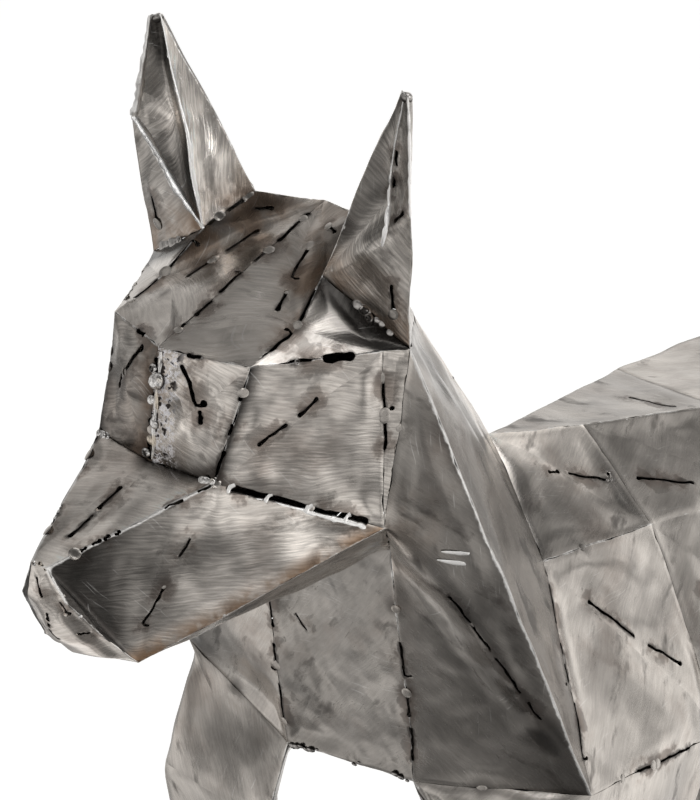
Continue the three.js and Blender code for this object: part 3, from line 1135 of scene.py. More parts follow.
@dataclass
class Ears(PlateGroup):
    """The ears' plates: a folded cup in front, an inner side and a back."""

    place: Place = Place.EAR
    cell: float = 3.2 * MM
    buckle: float = 5.0 * MM
    soften: int = 2
    softer: dict[str, int] = given({"ear_cup": 260})
    crisp: tuple[tuple[str, str], ...] = (("earFlareR", "earFrontR"),)
    ripple: float = 0.44
    corners: dict[str, Spot] = given({
        "earFront": (50, 105, 104), "earInner": (41, 149, 127), "earRear": (76, 152, 86),
        "earOuter": (109, 118, 68), "earFlare": (112, 113, 157), "earPocket": (92, 124, 160),
        "earTipIn": (97, 120, 232), "earTipOut": (104, 117, 230), "earTipRear": (100, 126, 228),
    })
    right: dict[str, Spot] = given({"earInner": (37, 140, 122), "earFlare": (117, 110, 162)})
    pairs: dict[str, Facets] = given({
        "ear_cup": [
            "earTipOut earPocket earFlare", "earFlare earPocket earFront", "earFront earPocket earTipIn",
            "earTipIn earPocket earTipOut", "earFlare earFront earOuter",
        ],
        "ear_inner": ["earTipIn earInner earFront"],
        "ear_back": [
            "earTipIn earTipOut earTipRear", "earTipIn earTipRear earInner", "earTipRear earRear earInner",
            "earTipOut earFlare earTipRear", "earFlare earRear earTipRear", "earFlare earOuter earRear",
        ],
    })
    grain: Spot = (0.3, 0.2, 1.0)
    grains: dict[str, Spot] = given({"ear_cup": (-0.75, 0.1, 0.65)})


@dataclass
class Neck(PlateGroup):
    """The neck's plates."""

    place: Place = Place.NECK
    cell: float = 4.6 * MM
    buckle: float = 9.0 * MM
    soften: int = 16
    swell: float = 0.115
    ripple: float = 0.12
    gloss: float = 0.24
    softer: dict[str, int] = given({"neck_side": 500, "neck_rear": 60})
    knocks: dict[str, float] = given({"throat": 0.13})
    corners: dict[str, Spot] = given({
        "napeMid": (0, 252, 8), "throatTop": (60, 159, -112), "throatLow": (60, 187, -313),
        "shoulderPoint": (162, 256, -312), "bladeTop": (78, 303, -178), "withers": (0, 339, -121),
    })
    right: dict[str, Spot] = given({"throatLow": (60, 187, -334), "shoulderPoint": (165, 196, -295)})
    pairs: dict[str, Facets] = given({
        "nape": ["occiput earInner napeMid", "earInner earRear napeMid", "earRear earOuter napeMid"],
        "neck_rear": [
            "earOuter shoulderPoint bladeTop", "earOuter bladeTop napeMid", "napeMid bladeTop withers",
        ],
        "neck_side": [
            "earOuter jaw shoulderPoint", "jaw throatTop shoulderPoint",
            "throatTop throatLow shoulderPoint",
        ],
    })
    centres: dict[str, Facets] = given({"throat": ["throatTop throatTopR throatLowR throatLow"]})
    grain: Spot = (0.35, 0.6, -0.7)
    grains: dict[str, Spot] = given({"throat": (0.6, 0.2, 0.8)})


@dataclass
class Trunk(PlateGroup):
    """The trunk's plates, from withers to tail."""

    place: Place = Place.TRUNK
    cell: float = 7.0 * MM
    buckle: float = 9.0 * MM
    swell: float = 0.12
    ripple: float = 0.12
    gloss: float = 0.24
    soften: int = 8
    most_faces: int = 4000
    corners: dict[str, Spot] = given({
        "tailTop": (15, 846, -232), "tailLow": (15, 858, -268), "tailTipTop": (7, 950, -300),
        "tailTipLow": (7, 946, -316), "hip": (106, 770, -238), "stifleOut": (124, 688, -430),
        "stifleIn": (58, 696, -410), "buttockOut": (98, 856, -372), "buttockIn": (44, 862, -360),
        "spine0": (19, 425, -141), "rib0": (86, 425, -199), "flank0": (157, 425, -352),
        "belly0": (104, 425, -396), "spine1": (47, 560, -171), "rib1": (98, 560, -224),
        "flank1": (140, 560, -354), "belly1": (66, 560, -412), "spine2": (46, 672, -184),
        "rib2": (88, 672, -230), "flank2": (108, 672, -346), "belly2": (48, 672, -384),
        "spine3": (36, 770, -194),
    })
    pairs: dict[str, Facets] = given({
        "withers_side": ["withers bladeTop rib0", "withers rib0 spine0"],
        "shoulder": ["bladeTop shoulderPoint flank0", "bladeTop flank0 rib0"],
        "ribs": ["spine0 rib0 rib1 spine1", "rib0 flank0 flank1 rib1"],
        "loin": [
            "spine1 rib1 rib2 spine2", "rib1 flank1 flank2 rib2", "spine2 rib2 hip spine3",
            "rib2 flank2 stifleOut hip",
        ],
        "thigh": ["spine3 hip tailTop", "hip stifleOut buttockOut", "hip buttockOut tailTop"],
    })
    centres: dict[str, Facets] = given({
        "back": ["withers spine0 spine0R", "spine0 spine1 spine1R spine0R"],
        "croup": [
            "spine1 spine2 spine2R spine1R", "spine2 spine3 spine3R spine2R",
            "spine3 tailTop tailTopR spine3R",
        ],
        "brisket": ["throatLow throatLowR belly0R belly0"],
        "belly": [
            "belly0 belly0R belly1R belly1", "belly1 belly1R belly2R belly2", "flank0 belly0 belly1 flank1",
            "flank1 belly1 belly2 flank2", "flank0R flank1R belly1R belly0R",
            "flank1R flank2R belly2R belly1R",
        ],
        "groin": [
            "belly2 belly2R stifleInR stifleIn", "stifleIn stifleInR buttockInR buttockIn",
            "flank2 belly2 stifleIn stifleOut", "flank2R stifleOutR stifleInR belly2R",
        ],
        "rump": [
            "buttockIn buttockInR tailLowR tailLow", "buttockOut buttockIn tailLow",
            "buttockOut tailLow tailTop", "buttockOutR tailLowR buttockInR",
            "buttockOutR tailTopR tailLowR",
        ],
        "tail": [
            "tailTop tailLow tailTipLow tailTipTop", "tailTopR tailTipTopR tailTipLowR tailLowR",
            "tailTop tailTipTop tailTipTopR tailTopR", "tailLow tailLowR tailTipLowR tailTipLow",
            "tailTipTop tailTipLow tailTipLowR tailTipTopR",
        ],
    })
    grain: Spot = (0.3, 0.6, 0.7)


@dataclass(frozen=True)
class LegRing:
    """One ring of a leg: its sides, front, rear and height, the right leg's step and the rear's drop."""

    inner: float
    outer: float
    front: float
    rear: float
    up: float
    step: float
    drop: float = 0.0
    inner_rear: float | None = None

    def spots(self) -> list[Spot]:
        """List the corners in turn: front inner, front outer, rear outer, rear inner."""
        tucked = self.inner if self.inner_rear is None else self.inner_rear
        return [
            (self.inner, self.front, self.up), (self.outer, self.front, self.up),
            (self.outer, self.rear, self.up - self.drop), (tucked, self.rear, self.up - self.drop),
        ]


@dataclass
class Legs(PlateGroup):
    """One pair of legs: plates in front and outside, behind and inside, and paws."""

    place: Place = Place.LEG
    cell: float = 7.0 * MM
    buckle: float = 7.0 * MM
    soften: int = 6
    swell: float = 0.09
    ripple: float = 0.14
    most_faces: int = 3000
    grain: Spot = (0.5, 0.4, 0.7)
    leg: str = "fore"
    top: tuple[str, ...] = ("throatLow", "shoulderPoint", "flank0", "belly0")
    names: tuple[str, str, str] = ("foreleg_outer", "foreleg_inner", "fore_paw")
    rings: tuple[LegRing, ...] = (
        LegRing(60, 174, 216, 334, -391, 52, 46, 156), LegRing(70, 160, 244, 326, -490, 72, 0, 136),
        LegRing(86, 142, 262, 318, -655, 96, 0, 108), LegRing(84, 146, 250, 312, -716, 104),
        LegRing(76, 154, 190, 320, -748, 108), LegRing(78, 152, 180, 316, -770.7, 108),
    )

    def __post_init__(self) -> None:
        """Name the rings' corners and list the facets between them."""
        rows = [list(self.top)]
        for i, ring in enumerate(self.rings):
            row = []
            for corner, spot in enumerate(ring.spots()):
                name = f"{self.leg}{i}.{corner}"
                self.corners[name] = spot
                self.right[name] = (spot[0], spot[1] - ring.step, spot[2])
                row.append(name)
            rows.append(row)
        end = len(rows) - 1
        paw = len(self.rings) - 2

        def wall(side: int, first: int, last: int) -> Facets:
            """List the facets of one side between two rows."""
            turn = (side + 1) % 4
            return [
                " ".join((upper[side], lower[side], lower[turn], upper[turn]))
                for upper, lower in zip(rows[first:last], rows[first + 1:last + 1])
            ]

        outer, inner, foot = self.names
        self.pairs[outer] = wall(0, 0, paw) + wall(1, 0, paw)
        self.pairs[inner] = wall(2, 0, paw) + wall(3, 0, paw)
        self.pairs[foot] = [f for side in range(4) for f in wall(side, paw, end)]


def hind_legs() -> Legs:
    """Set out the hind legs."""
    return Legs(
        leg="hind",
        top=("stifleIn", "stifleOut", "buttockOut", "buttockIn"),
        names=("hind_leg_outer", "hind_leg_inner", "hind_paw"),
        rings=(
            LegRing(64, 122, 718, 824, -520, -20), LegRing(74, 116, 796, 864, -606, -40),
            LegRing(80, 118, 798, 846, -712, -50), LegRing(72, 128, 740, 854, -748, -50),
            LegRing(74, 126, 730, 850, -770.7, -50),
        ),
    )


@dataclass(frozen=True)
class SeamSlits:
    """Slits burnt along one seam, on both sides of the dog: each run is a part of the way along it."""

    edge: str
    runs: tuple[tuple[float, float], ...]
    width: float = 3.0 * MM


@dataclass(frozen=True)
class FaceSlits:
    """Slits burnt through one facet: a run's ends are shares towards its second and third corners."""

    plate: str
    facet: str
    runs: tuple[tuple[float, float, float, float], ...]
    width: float = 3.0 * MM


@dataclass
class SlitPlan:
    """Where the dog's slits are."""

    seams: tuple[SeamSlits, ...] = (
        SeamSlits("underEye jaw", ((0.09, 0.88),), 6.0 * MM),
        SeamSlits("browMid occiput", ((0.11, 0.15), (0.22, 0.3), (0.36, 0.48), (0.57, 0.64), (0.72, 0.9))),
        SeamSlits("brow underEye", ((0.2, 0.27), (0.5, 0.58), (0.74, 0.97))),
        SeamSlits("noseTop underEye", (
            (0.2, 0.23), (0.27, 0.31), (0.34, 0.36), (0.4, 0.42), (0.7, 0.8), (0.9, 0.98)), 2.4 * MM),
        SeamSlits("earFront earInner", ((0.12, 0.26), (0.5, 0.78))),
        SeamSlits("stop browMid", ((0.04, 0.16), (0.3, 0.36), (0.52, 0.6), (0.8, 0.88)), 4.2 * MM),
        SeamSlits("browMid brow", ((0.34, 0.46),)),
        SeamSlits("brow temple", ((0.45, 0.95),)),
        SeamSlits("temple earFront", ((0.2, 0.75),)),
        SeamSlits("brow cheekTop", ((0.3, 0.46),)),
        SeamSlits("brow cheekTop", ((0.58, 0.76),), 6.4 * MM),
        SeamSlits("cheekTop jaw", ((0.17, 0.31), (0.39, 0.54))),
        SeamSlits("throatTop throatLow", ((0.38, 0.52), (0.6, 0.7), (0.76, 0.9))),
        SeamSlits("jaw shoulderPoint", ((0.27, 0.37), (0.39, 0.47), (0.5, 0.62), (0.66, 0.72))),
        SeamSlits("bladeTop shoulderPoint", ((0.1, 0.26), (0.36, 0.53), (0.62, 0.84))),
        SeamSlits("shoulderPoint flank0", ((0.35, 0.45), (0.52, 0.75))),
        SeamSlits("rib1 flank1", ((0.15, 0.4), (0.55, 0.85))),
        SeamSlits("hip stifleOut", ((0.2, 0.5), (0.6, 0.85))),
        SeamSlits("stifleOut buttockOut", ((0.25, 0.6),)),
    )
    faces: tuple[FaceSlits, ...] = (
        FaceSlits("cheek", "brow underEye cheekTop", ((0.7, 0.26, 0.56, 0.42), (0.48, 0.5, 0.37, 0.61))),
        FaceSlits("muzzle_side", "noseTop chin underEye", (
            (0.29, 0.68, 0.39, 0.58), (0.57, 0.4, 0.74, 0.18))),
        FaceSlits("muzzle_top", "stop noseTop noseTopR", (
            (0.13, 0.13, 0.23, 0.23), (0.26, 0.26, 0.36, 0.36))),
        FaceSlits("eye_plate", "browMid eye brow", ((0.2, 0.21, 0.74, 0.2),), 4.0 * MM),
        FaceSlits("eye_plate", "brow eye underEye", ((0.72, 0.07, 0.62, 0.21),), 4.0 * MM),
        FaceSlits("nose_cap", "noseSide noseTop noseSideR", ((0.56, 0.4, 0.12, 0.44),)),
        FaceSlits("nose_cap", "noseSideR noseLowR noseLow", (
            (0.02, 0.36, 0.17, 0.34), (0.28, 0.31, 0.32, 0.31), (0.42, 0.3, 0.54, 0.36),
            (0.1, 0.74, 0.04, 0.86))),
        FaceSlits("nose_cap", "noseSide noseSideR noseLow", ((0.16, 0.04, 0.16, 0.3),), 3.6 * MM),
        FaceSlits("ear_cup_left", "earFront earPocket earTipIn", (
            (0.5, 0.47, 0.64, 0.34), (0.74, 0.22, 0.84, 0.13)), 2.6 * MM),
        FaceSlits("ear_cup_left", "earFlare earPocket earFront", ((0.3, 0.14, 0.24, 0.04),), 2.6 * MM),
        FaceSlits("crown", "browMid temple occiput", ((0.36, 0.6, 0.47, 0.42), (0.56, 0.31, 0.66, 0.18))),
        FaceSlits("crown", "earFront earInner occiput", ((0.3, 0.3, 0.15, 0.5),)),
        FaceSlits("ear_cup", "earFlare earFront earOuter", ((0.2, 0.42, 0.18, 0.62),)),
        FaceSlits("throat", "throatTop throatTopR throatLowR", ((0.38, 0.44, 0.26, 0.48),)),
        FaceSlits("withers_side", "withers rib0 spine0", ((0.44, 0.06, 0.54, 0.34),)),
        FaceSlits("withers_side", "withers bladeTop rib0", ((0.09, 0.31, 0.03, 0.39),)),
        FaceSlits("ribs", "spine0 rib0 rib1", ((0.46, 0.12, 0.3, 0.46),)),
        FaceSlits("shoulder", "bladeTop flank0 rib0", ((0.24, 0.03, 0.44, 0.09), (0.5, 0.12, 0.62, 0.18))),
        FaceSlits("ribs", "rib0 flank0 rib1", ((0.35, 0.2, 0.3, 0.5),)),
        FaceSlits("back", "spine0 spine1 spine1R", ((0.24, 0.41, 0.66, 0.12),)),
    )

    def share_out(self, shell: "DogShell") -> dict[str, list[Slit]]:
        """Work out every slit and hand it to the plates that it cuts.

        Args:
            shell: the plates and seams.

        Returns:
            The slits of each plate.
        """
        found: dict[str, list[Slit]] = {name: [] for name in shell.plates}
        for side in (1, -1):
            for plan in self.seams:
                first, second = plan.edge.split()
                seam = shell.seam(first, second, side)
                if side < 0 and seam is shell.seam(first, second):
                    continue
                forward = shell.runs_from(seam, first, side)
                for run in plan.runs:
                    start, end = (seam.at(share if forward else 1 - share) for share in run)
                    slit = Slit(start, end, seam.normal, plan.width, True)
                    for name in set(seam.plates):
                        found[name].append(slit)
            for plan in self.faces:
                alone = plan.plate in shell.plates
                if alone and side < 0:
                    continue
                name = plan.plate if alone else plan.plate + ("_left" if side > 0 else "_right")
                a, b, c = (shell.corner(n, side) for n in plan.facet.split())
                normal = (b - a).cross(c - a).normalized() * side
                for u0, v0, u1, v1 in plan.runs:
                    start = a * (1 - u0 - v0) + b * u0 + c * v0
                    end = a * (1 - u1 - v1) + b * u1 + c * v1
                    found[name].append(Slit(start, end, normal, plan.width, False))
        return found


@dataclass
class DogShell:
    """All the dog's plates, and the seams between them."""

    groups: tuple[PlateGroup, ...]
    cage: Cage = field(default_factory=Cage)
    plates: dict[str, SheetPlate] = given({})
    seams: dict[tuple[str, str], Seam] = given({})
    ridge: float = 26.0
    polished: tuple[tuple[str, str], ...] = (
        ("earOuter", "shoulderPoint"), ("earOuterR", "shoulderPointR"), ("noseTop", "underEye"),
        ("noseTopR", "underEyeR"), ("earTipOutR", "earFlareR"), ("earFlareR", "earFrontR"),
        ("earTipInR", "earFrontR"), ("earTipOut", "earFlare"), ("noseTop", "noseSide"),
    )
    ding_size: float = 0.016
    sway_size: float = 0.060
    rounded: tuple[tuple[str, float, Spot], ...] = (
        ("noseLowR", 30.0, (2.0, 2.5, 3.0)), ("chinR", 26.0, (0.0, 1.0, 3.5)),
        ("noseSideR", 26.0, (-0.9, -2.6, -2.6)), ("noseLow", 26.0, (0.0, 0.5, -1.5)),
    )

    def cut_out(self) -> None:
        """Set out every plate and find the seams between them."""
        for group in self.groups:
            group.set_corners(self.cage)
        for group in self.groups:
            for name, facets in group.pairs.items():
                self.add_plate(group, name + "_left", facets, group.grain_of(name, 1))
                turned = [" ".join(other_side(n) for n in reversed(facet.split())) for facet in facets]
                self.add_plate(group, name + "_right", turned, group.grain_of(name, -1))
            for name, facets in group.centres.items():
                self.add_plate(group, name, facets, group.grain_of(name, 1))
        for seam in self.seams.values():
            outer = len(set(seam.plates)) > 1
            for name in set(seam.plates):
                plate = self.plates[name]
                if outer or len(seam.plates) == 1:
                    plate.outline.append(seam)
                if seam.bend > self.ridge:
                    plate.ridges.append(seam)
                if any(seam is self.seam(*edge) for edge in self.polished):
                    seam.bare = True
                    plate.polished.append((seam.start, seam.end))
                if any(seam is self.seam(*edge) for group in self.groups for edge in group.crisp):
                    plate.crisp.append((seam.start, seam.end))
        for plate in self.plates.values():
            plate.lay_out()
            plate.lay_grain()

    def add_plate(self, group: PlateGroup, node: str, facets: Facets, grain: Vector) -> None:
        """Set out one plate and note its edges.

        Args:
            group: the plate's sub-assembly.
            node: the plate's node.
            facets: the corners of its facets, anticlockwise seen from outside.
            grain: which way it is ground.
        """
        threes = [
            (names[0], names[i], names[i + 1])
            for names in map(str.split, facets) for i in range(1, len(names) - 1)
        ]
        spots = [tuple(self.cage.spots[n] for n in three) for three in threes]
        plain = unsided(node)
        calm = plain in group.calm
        self.plates[node] = SheetPlate(
            node, group.place, spots, grain, group.cell,
            group.buckle * (group.calm_buckle if calm else 1.0), most_faces=group.most_faces,
            soften=group.softer.get(plain, group.soften), swell=group.swell,
            ripple=group.calm_ripple if calm else group.ripple, gloss=group.gloss,
            bulge=group.bulges.get(plain, 0.0), knocks=group.knocks.get(plain, SheetPlate.knocks),
        )
        for three, (a, b, c) in zip(threes, spots):
            normal = (b - a).cross(c - a).normalized()
            middle = (a + b + c) / 3
            for i in range(3):
                ends = [self.cage.plain(three[i]), self.cage.plain(three[(i + 1) % 3])]
                if ends[0] == ends[1]:
                    continue
                key = tuple(sorted(ends))
                seam = self.seams.get(key)
                if seam is None:
                    seam = Seam(key, self.cage.spots[key[0]], self.cage.spots[key[1]], place=group.place)
                    self.seams[key] = seam
                seam.plates.append(node)
                seam.normals.append(normal)
                seam.middles.append(middle)

    def corner(self, name: str, side: int = 1) -> Vector:
        """Return a corner on the left (1) or the right (-1)."""
        return self.cage.spots[name if side > 0 else other_side(name)]

    def seam(self, first: str, second: str, side: int = 1) -> Seam:
        """Return the seam between two corners, on the left (1) or the right (-1)."""
        names = (first, second) if side > 0 else (other_side(first), other_side(second))
        return self.seams[tuple(sorted(self.cage.plain(n) for n in names))]

    def runs_from(self, seam: Seam, first: str, side: int) -> bool:
        """Say whether a seam starts at this corner."""
        return seam.names[0] == self.cage.plain(first if side > 0 else other_side(first))

    def pattern(self, name: str, size: float, three_way: bool = False) -> bpy.types.Texture:
        """Make one of the cloudy patterns that put the sheets out of true.

        Args:
            name: what the pattern is called.
            size: how broad it is.
            three_way: whether it pulls along three axes.

        Returns:
            The pattern.
        """
        texture = bpy.data.textures.new(name, "CLOUDS")
        texture.noise_scale = size
        texture.noise_depth = 1
        texture.contrast = 1.7
        if three_way:
            texture.cloud_type = "COLOR"
        return texture

    def hand_work(self) -> HandWork:
        """Set out how hand work left the dog out of true."""
        corners = [(self.corner(name), reach * MM, Vector(move) * MM) for name, reach, move in self.rounded]
        return HandWork(self.pattern("sway", self.sway_size, True), corners)

    def surfaces(self, names: set[str]) -> dict[str, BVHTree]:
        """Make trees to measure from some plates' surfaces."""
        graph = bpy.context.evaluated_depsgraph_get()
        return {name: BVHTree.FromObject(self.plates[name].piece, graph) for name in names}

    def form(self, slits: dict[str, list[Slit]]) -> None:
        """Dent, thicken and cut every plate.

        Args:
            slits: the slits of each plate.
        """
        sizes = {plate.swell for plate in self.plates.values()}
        swells = {size: self.pattern(f"swell_{size:.3f}", size) for size in sorted(sizes)}
        dings = self.pattern("dings", self.ding_size)
        for name, plate in self.plates.items():
            plate.refine()
            plate.dent(swells[plate.swell], dings)
            plate.fray()
            plate.thicken()
            plate.burn(slits[name], 3 * MM + plate.buckle + plate.bulge)
            plate.ease()
            LOG.info("formed %s: %d faces", name, len(plate.piece.data.polygons))


@dataclass
class ToneAndShadeChart:
    """How light or dark each plate is: a random tone where none is listed, and listed tones and patches that
    are painted shade and painted highlights for how the light falls on it.
    """

    # Listed plate tones are painted light and shade: lit plates such as the nose cap, the jaw's underside and
    # the left eye plate are painted lighter, and shaded ones such as the ear cups, the right eye plate, the
    # throat and the neck's rear are painted darker.
    plates: dict[str, float] = given({
        "ear_cup": -1.3, "nose_cap": 1.9, "eye_plate_left": 1.3, "eye_plate_right": -1.3, "crown": 0.3,
        "neck_side": 0.6, "neck_rear": -1.8, "shoulder": -0.2, "withers_side": -1.6, "cheek": 0.1,
        "muzzle_side": 1.3, "temple": -0.2, "ear_inner": 1.5, "throat": -1.7, "muzzle_top": 0.9,
        "jaw_underside": 3.4, "cheek_strap": 0.0, "back": -1.4, "ribs": -0.8,
    })
    patches: dict[Mark, tuple[tuple[str, str, str, float, float], ...]] = given({
        # Tone patches are painted shade and painted highlights: painted shadow in the creases beside the eye
        # plates and along the muzzle top, painted shade under the ears, in the ear cups and towards the nose,
        # and painted highlights on the parts that catch the light.
        Mark.TONE: (
            ("muzzle_side", "noseTop", "noseLow", 112.0, -5.2),
            ("muzzle_side", "noseTop", "underEye", 26.0, -0.8),
            ("muzzle_top", "noseTop", "underEye", 18.0, 4.6),
            ("muzzle_top", "stop", "underEye", 16.0, -4.4),
            ("neck_side", "earOuter", "shoulderPoint", 90.0, -3.6),
            ("neck_side", "earOuter", "earOuter", 70.0, 3.4),
            ("neck_rear", "napeMid", "withers", 70.0, 4.2),
            ("withers_side", "withers", "spine0", 70.0, 4.8),
            ("eye_plate_left", "underEye", "stop", 28.0, -5.2),
            ("eye_plate_right", "underEye", "stop", 16.0, -1.6),
            ("eye_plate", "brow", "underEye", 12.0, -1.6), ("eye_plate_left", "stop", "browMid", 6.0, -4.5),
            ("crown", "earFront", "earInner", 34.0, -3.2), ("temple", "earOuter", "earFront", 24.0, -3.2),
            ("temple", "earFront", "cheekTop", 24.0, -2.4), ("ear_cup", "earOuter", "earOuter", 60.0, -1.2),
            ("ear_cup_right", "earTipIn", "earFront", 17.0, -4.6),
            ("ear_cup", "earTipOut", "earTipIn", 44.0, -2.2),
            ("ear_cup_right", "earPocket", "earPocket", 26.0, 3.2),
            ("ear_inner", "earTipIn", "earFront", 10.0, 2.2),
            ("ear_inner", "earFront", "earFront", 44.0, 1.2), ("cheek", "brow", "underEye", 11.0, -4.2),
            ("nose_cap", "chin", "chinR", 34.0, -1.6), ("eye_plate_right", "stop", "browMid", 30.0, -2.2),
        ),
        Mark.FROST: (
            ("eye_plate_left", "stop", "browMid", 26.0, 2.6),
        ),
        Mark.RUST: (
            ("muzzle_side", "chin", "jaw", 16.0, 0.9), ("neck_side", "jaw", "throatTop", 46.0, 0.3),
            ("eye_plate", "stop", "browMid", 34.0, 0.3), ("crown", "earFront", "earInner", 40.0, 0.35),
            ("crown", "temple", "occiput", 30.0, 0.3), ("ear_cup", "earFront", "earOuter", 34.0, 0.5),
            ("ear_inner", "earFront", "earInner", 30.0, 0.5),
        ),
    })

    def of(self, node: str) -> float:
        """Return a plate's tone: a random one, or a listed one, which holds painted shade or painted
        highlight.
        """
        by_chance = random.Random(f"tone {node}").uniform(-0.6, 0.6)
        return self.plates.get(node, self.plates.get(unsided(node), by_chance))

    def of_plate(self, node: str, shell: DogShell) -> list[Patch]:
        """List the places of a plate that differ from the rest of it, painted shade and painted highlights
        among them.

        Args:
            node: the plate's node.
            shell: the dog's corners.

        Returns:
            The places.
        """
        side = -1 if node.endswith("_right") else 1
        return [
            Patch(mark, shell.corner(a, side), shell.corner(b, side), reach * MM, amount)
            for mark, rows in self.patches.items() for plate, a, b, reach, amount in rows
            if plate in (node, unsided(node))
        ]


# Welds


@dataclass
class Tack:
    """One planned weld tack, and the plate that it sits on."""

    kind: TackKind
    spot: Vector
    normal: Vector
    plate: str
    sink: float = 0.0
    lies_flat: bool = False
    search: float = 15 * MM
    level: float = 0.75
    shape: Matrix = field(default_factory=Matrix)

    def place(self, trees: dict[str, BVHTree]) -> Matrix:
        """Find where the tack goes on the formed plate.

        Args:
            trees: the plates' surfaces, to measure from.

        Returns:
            The tack's place.
        """
        spot, normal = self.spot, self.normal
        above = spot + normal * self.search
        found, facing, _, _ = trees[self.plate].ray_cast(above, -normal, 2 * self.search)
        if found and facing.dot(normal) > self.level:
            spot = found
            normal = facing if self.lies_flat else normal
        turn = normal.to_track_quat("Z", "Y").to_matrix().to_4x4()
        return Matrix.Translation(spot - normal * self.sink) @ turn @ self.shape


@dataclass
class TackShop:
    """Plans the weld tacks, models each kind once, and sets copies on seams and at slit ends."""

    radius: float = 3.9 * MM
    stand: float = 0.14 * MM
    sides: int = 16
    rings: tuple[tuple[float, float], ...] = ((1.2 * MM, 0.36 * MM), (1.2 * MM, 0.05 * MM))
    blow_hole: tuple[tuple[float, float], ...] = ((0.35 * MM, 0.2 * MM), (0.2 * MM, -1.1 * MM))
    foot: float = 0.4 * MM
    round_size: float = 0.95
    round_height: float = 0.42
    uneven: float = 0.2 * MM
    tone_drop: float = 0.8
    standing: tuple[str, ...] = ("eye_beads", "nose_beads")
    wear: dict[str, float] = given({
        "rim": 0.04, "burn": 0.04, "tack": 0.04, "tone": 0.0, "frost": 0.0, "rust": 0.0, "soot": 0.0,
    })
    models: dict[TackKind, Piece] = given({})
    planned: dict[str, list[Tack]] = given({})
    spots: list[Vector] = given([])

    def model(self) -> None:
        """Model the three kinds of tack."""
        for kind in TackKind:
            bpy.ops.object.select_all(action="DESELECT")
            if kind is TackKind.GROUND:
                bpy.ops.mesh.primitive_cylinder_add(vertices=self.sides, radius=self.radius, depth=2 * MM)
                tack = bpy.context.object
                pick_tops(tack, 0.9)
                bpy.ops.transform.translate(value=(0, 0, self.stand - MM - self.foot))
                steps = self.rings
            else:
                size = self.radius * self.round_size
                bpy.ops.mesh.primitive_uv_sphere_add(segments=12, ring_count=8, radius=size)
                tack = bpy.context.object
                whole(tack)
                bpy.ops.transform.resize(value=(1, 1, self.round_height))
                done()
                pick_tops(tack, 0.93)
                steps = self.blow_hole if kind is TackKind.PITTED else ()
            for thickness, depth in steps:
                bpy.ops.mesh.inset(thickness=thickness, depth=depth)
            bpy.ops.mesh.select_all(action="SELECT")
            if kind is not TackKind.GROUND:
                bpy.ops.transform.vertex_random(offset=self.uneven, seed=3 + len(self.models))
            face_out()
            smooth(tack, 24 if kind is TackKind.GROUND else 50)
            self.soil(kind, tack)
            self.models[kind] = tack

    def soil(self, kind: TackKind, tack: Piece) -> None:
        """Write how dark each corner of a tack is: round a round tack's foot and in its blow hole, and a
        painted shadow line on one side of a ground tack's rim.

        Args:
            kind: which look it has.
            tack: the model.
        """
        spots = points_of(tack.data)
        out = np.hypot(spots[:, 0], spots[:, 1]) / self.radius
        side = spots[:, 0] / self.radius
        values = {name: np.full(len(spots), value) for name, value in self.wear.items()}
        if kind is TackKind.GROUND:
            # Painted shadow: on one side, a ground tack's rim is marked as a slit wall, so the steel paints
            # it near black.
            values["burn"] = np.where((out > 0.9) & (side > -0.2), 0.0, values["burn"])
        else:
            foot = spots[:, 2] < 0.12 * self.radius
            hole = (out < 0.34) & (spots[:, 2] < 0.3 * self.radius) & (kind is TackKind.PITTED)
            values["soot"] = np.where(foot | hole, 0.95, 0.0)
        for name, numbers in values.items():
            write(tack.data, name, numbers)
        strip_maps(tack.data)
        grain = tack.data.uv_layers.new(name=UV_GRAIN)
        for loop in tack.data.loops:
            grain.data[loop.index].uv = spots[loop.vertex_index][:2]

    def copy(self, tack: Tack, trees: dict[str, BVHTree], tone: float) -> Piece:
        """Copy a tack to its place, as light or dark as its plate.

        Args:
            tack: the planned tack.
            trees: the plates' surfaces.
            tone: the plate's tone.

        Returns:
            The copy.
        """
        made = copy_at(self.models[tack.kind], tack.place(trees))
        layer = made.data.attributes["tone"]
        layer.data.foreach_set("value", np.full(len(layer.data), tone - self.tone_drop, dtype=np.float32))
        return made

    def put(self, run: str, tack: Tack, rng: random.Random, size: float = 1.0, flat: float = 1.0) -> None:
        """Plan one tack, turned and sized at random.

        Args:
            run: the piece that it is joined into.
            tack: the tack, whose shape this sets.
            rng: the source of its turn and size.
            size: how large it is beside the model.
            flat: how tall it is beside the model.
        """
        scale = size * rng.uniform(0.85, 1.15)
        spin = Matrix.Rotation(rng.uniform(0, math.tau), 4, "Z")
        tack.shape = spin @ Matrix.Diagonal((scale * rng.uniform(0.88, 1.12), scale, flat * size, 1))
        self.planned.setdefault(run, []).append(tack)
        self.spots.append(tack.spot.copy())

    def finish(
        self, shell: DogShell, tones: ToneAndShadeChart, finishes: dict[TackKind, Finish],
        raised: Finish, hand: HandWork,
    ) -> None:
        """Copy the tacks to their places, join each run into a piece and set it in the frame.

        Args:
            shell: the formed plates.
            tones: how light or dark they are.
            finishes: the material of each kind of tack.
            raised: the material of beads left standing.
            hand: how the dog is out of true.
        """
        self.model()
        for kind, model in self.models.items():
            model.data.materials.clear()
            model.data.materials.append(finishes[kind])
        trees = shell.surfaces({tack.plate for tacks in self.planned.values() for tack in tacks})
        for run, tacks in self.planned.items():
            piece = join([self.copy(tack, trees, tones.of(tack.plate)) for tack in tacks], run)
            if run in self.standing:
                piece.data.materials.clear()
                piece.data.materials.append(raised)
            hand.leave(piece)
            hand_over(piece)
        for model in self.models.values():
            bpy.data.objects.remove(model)


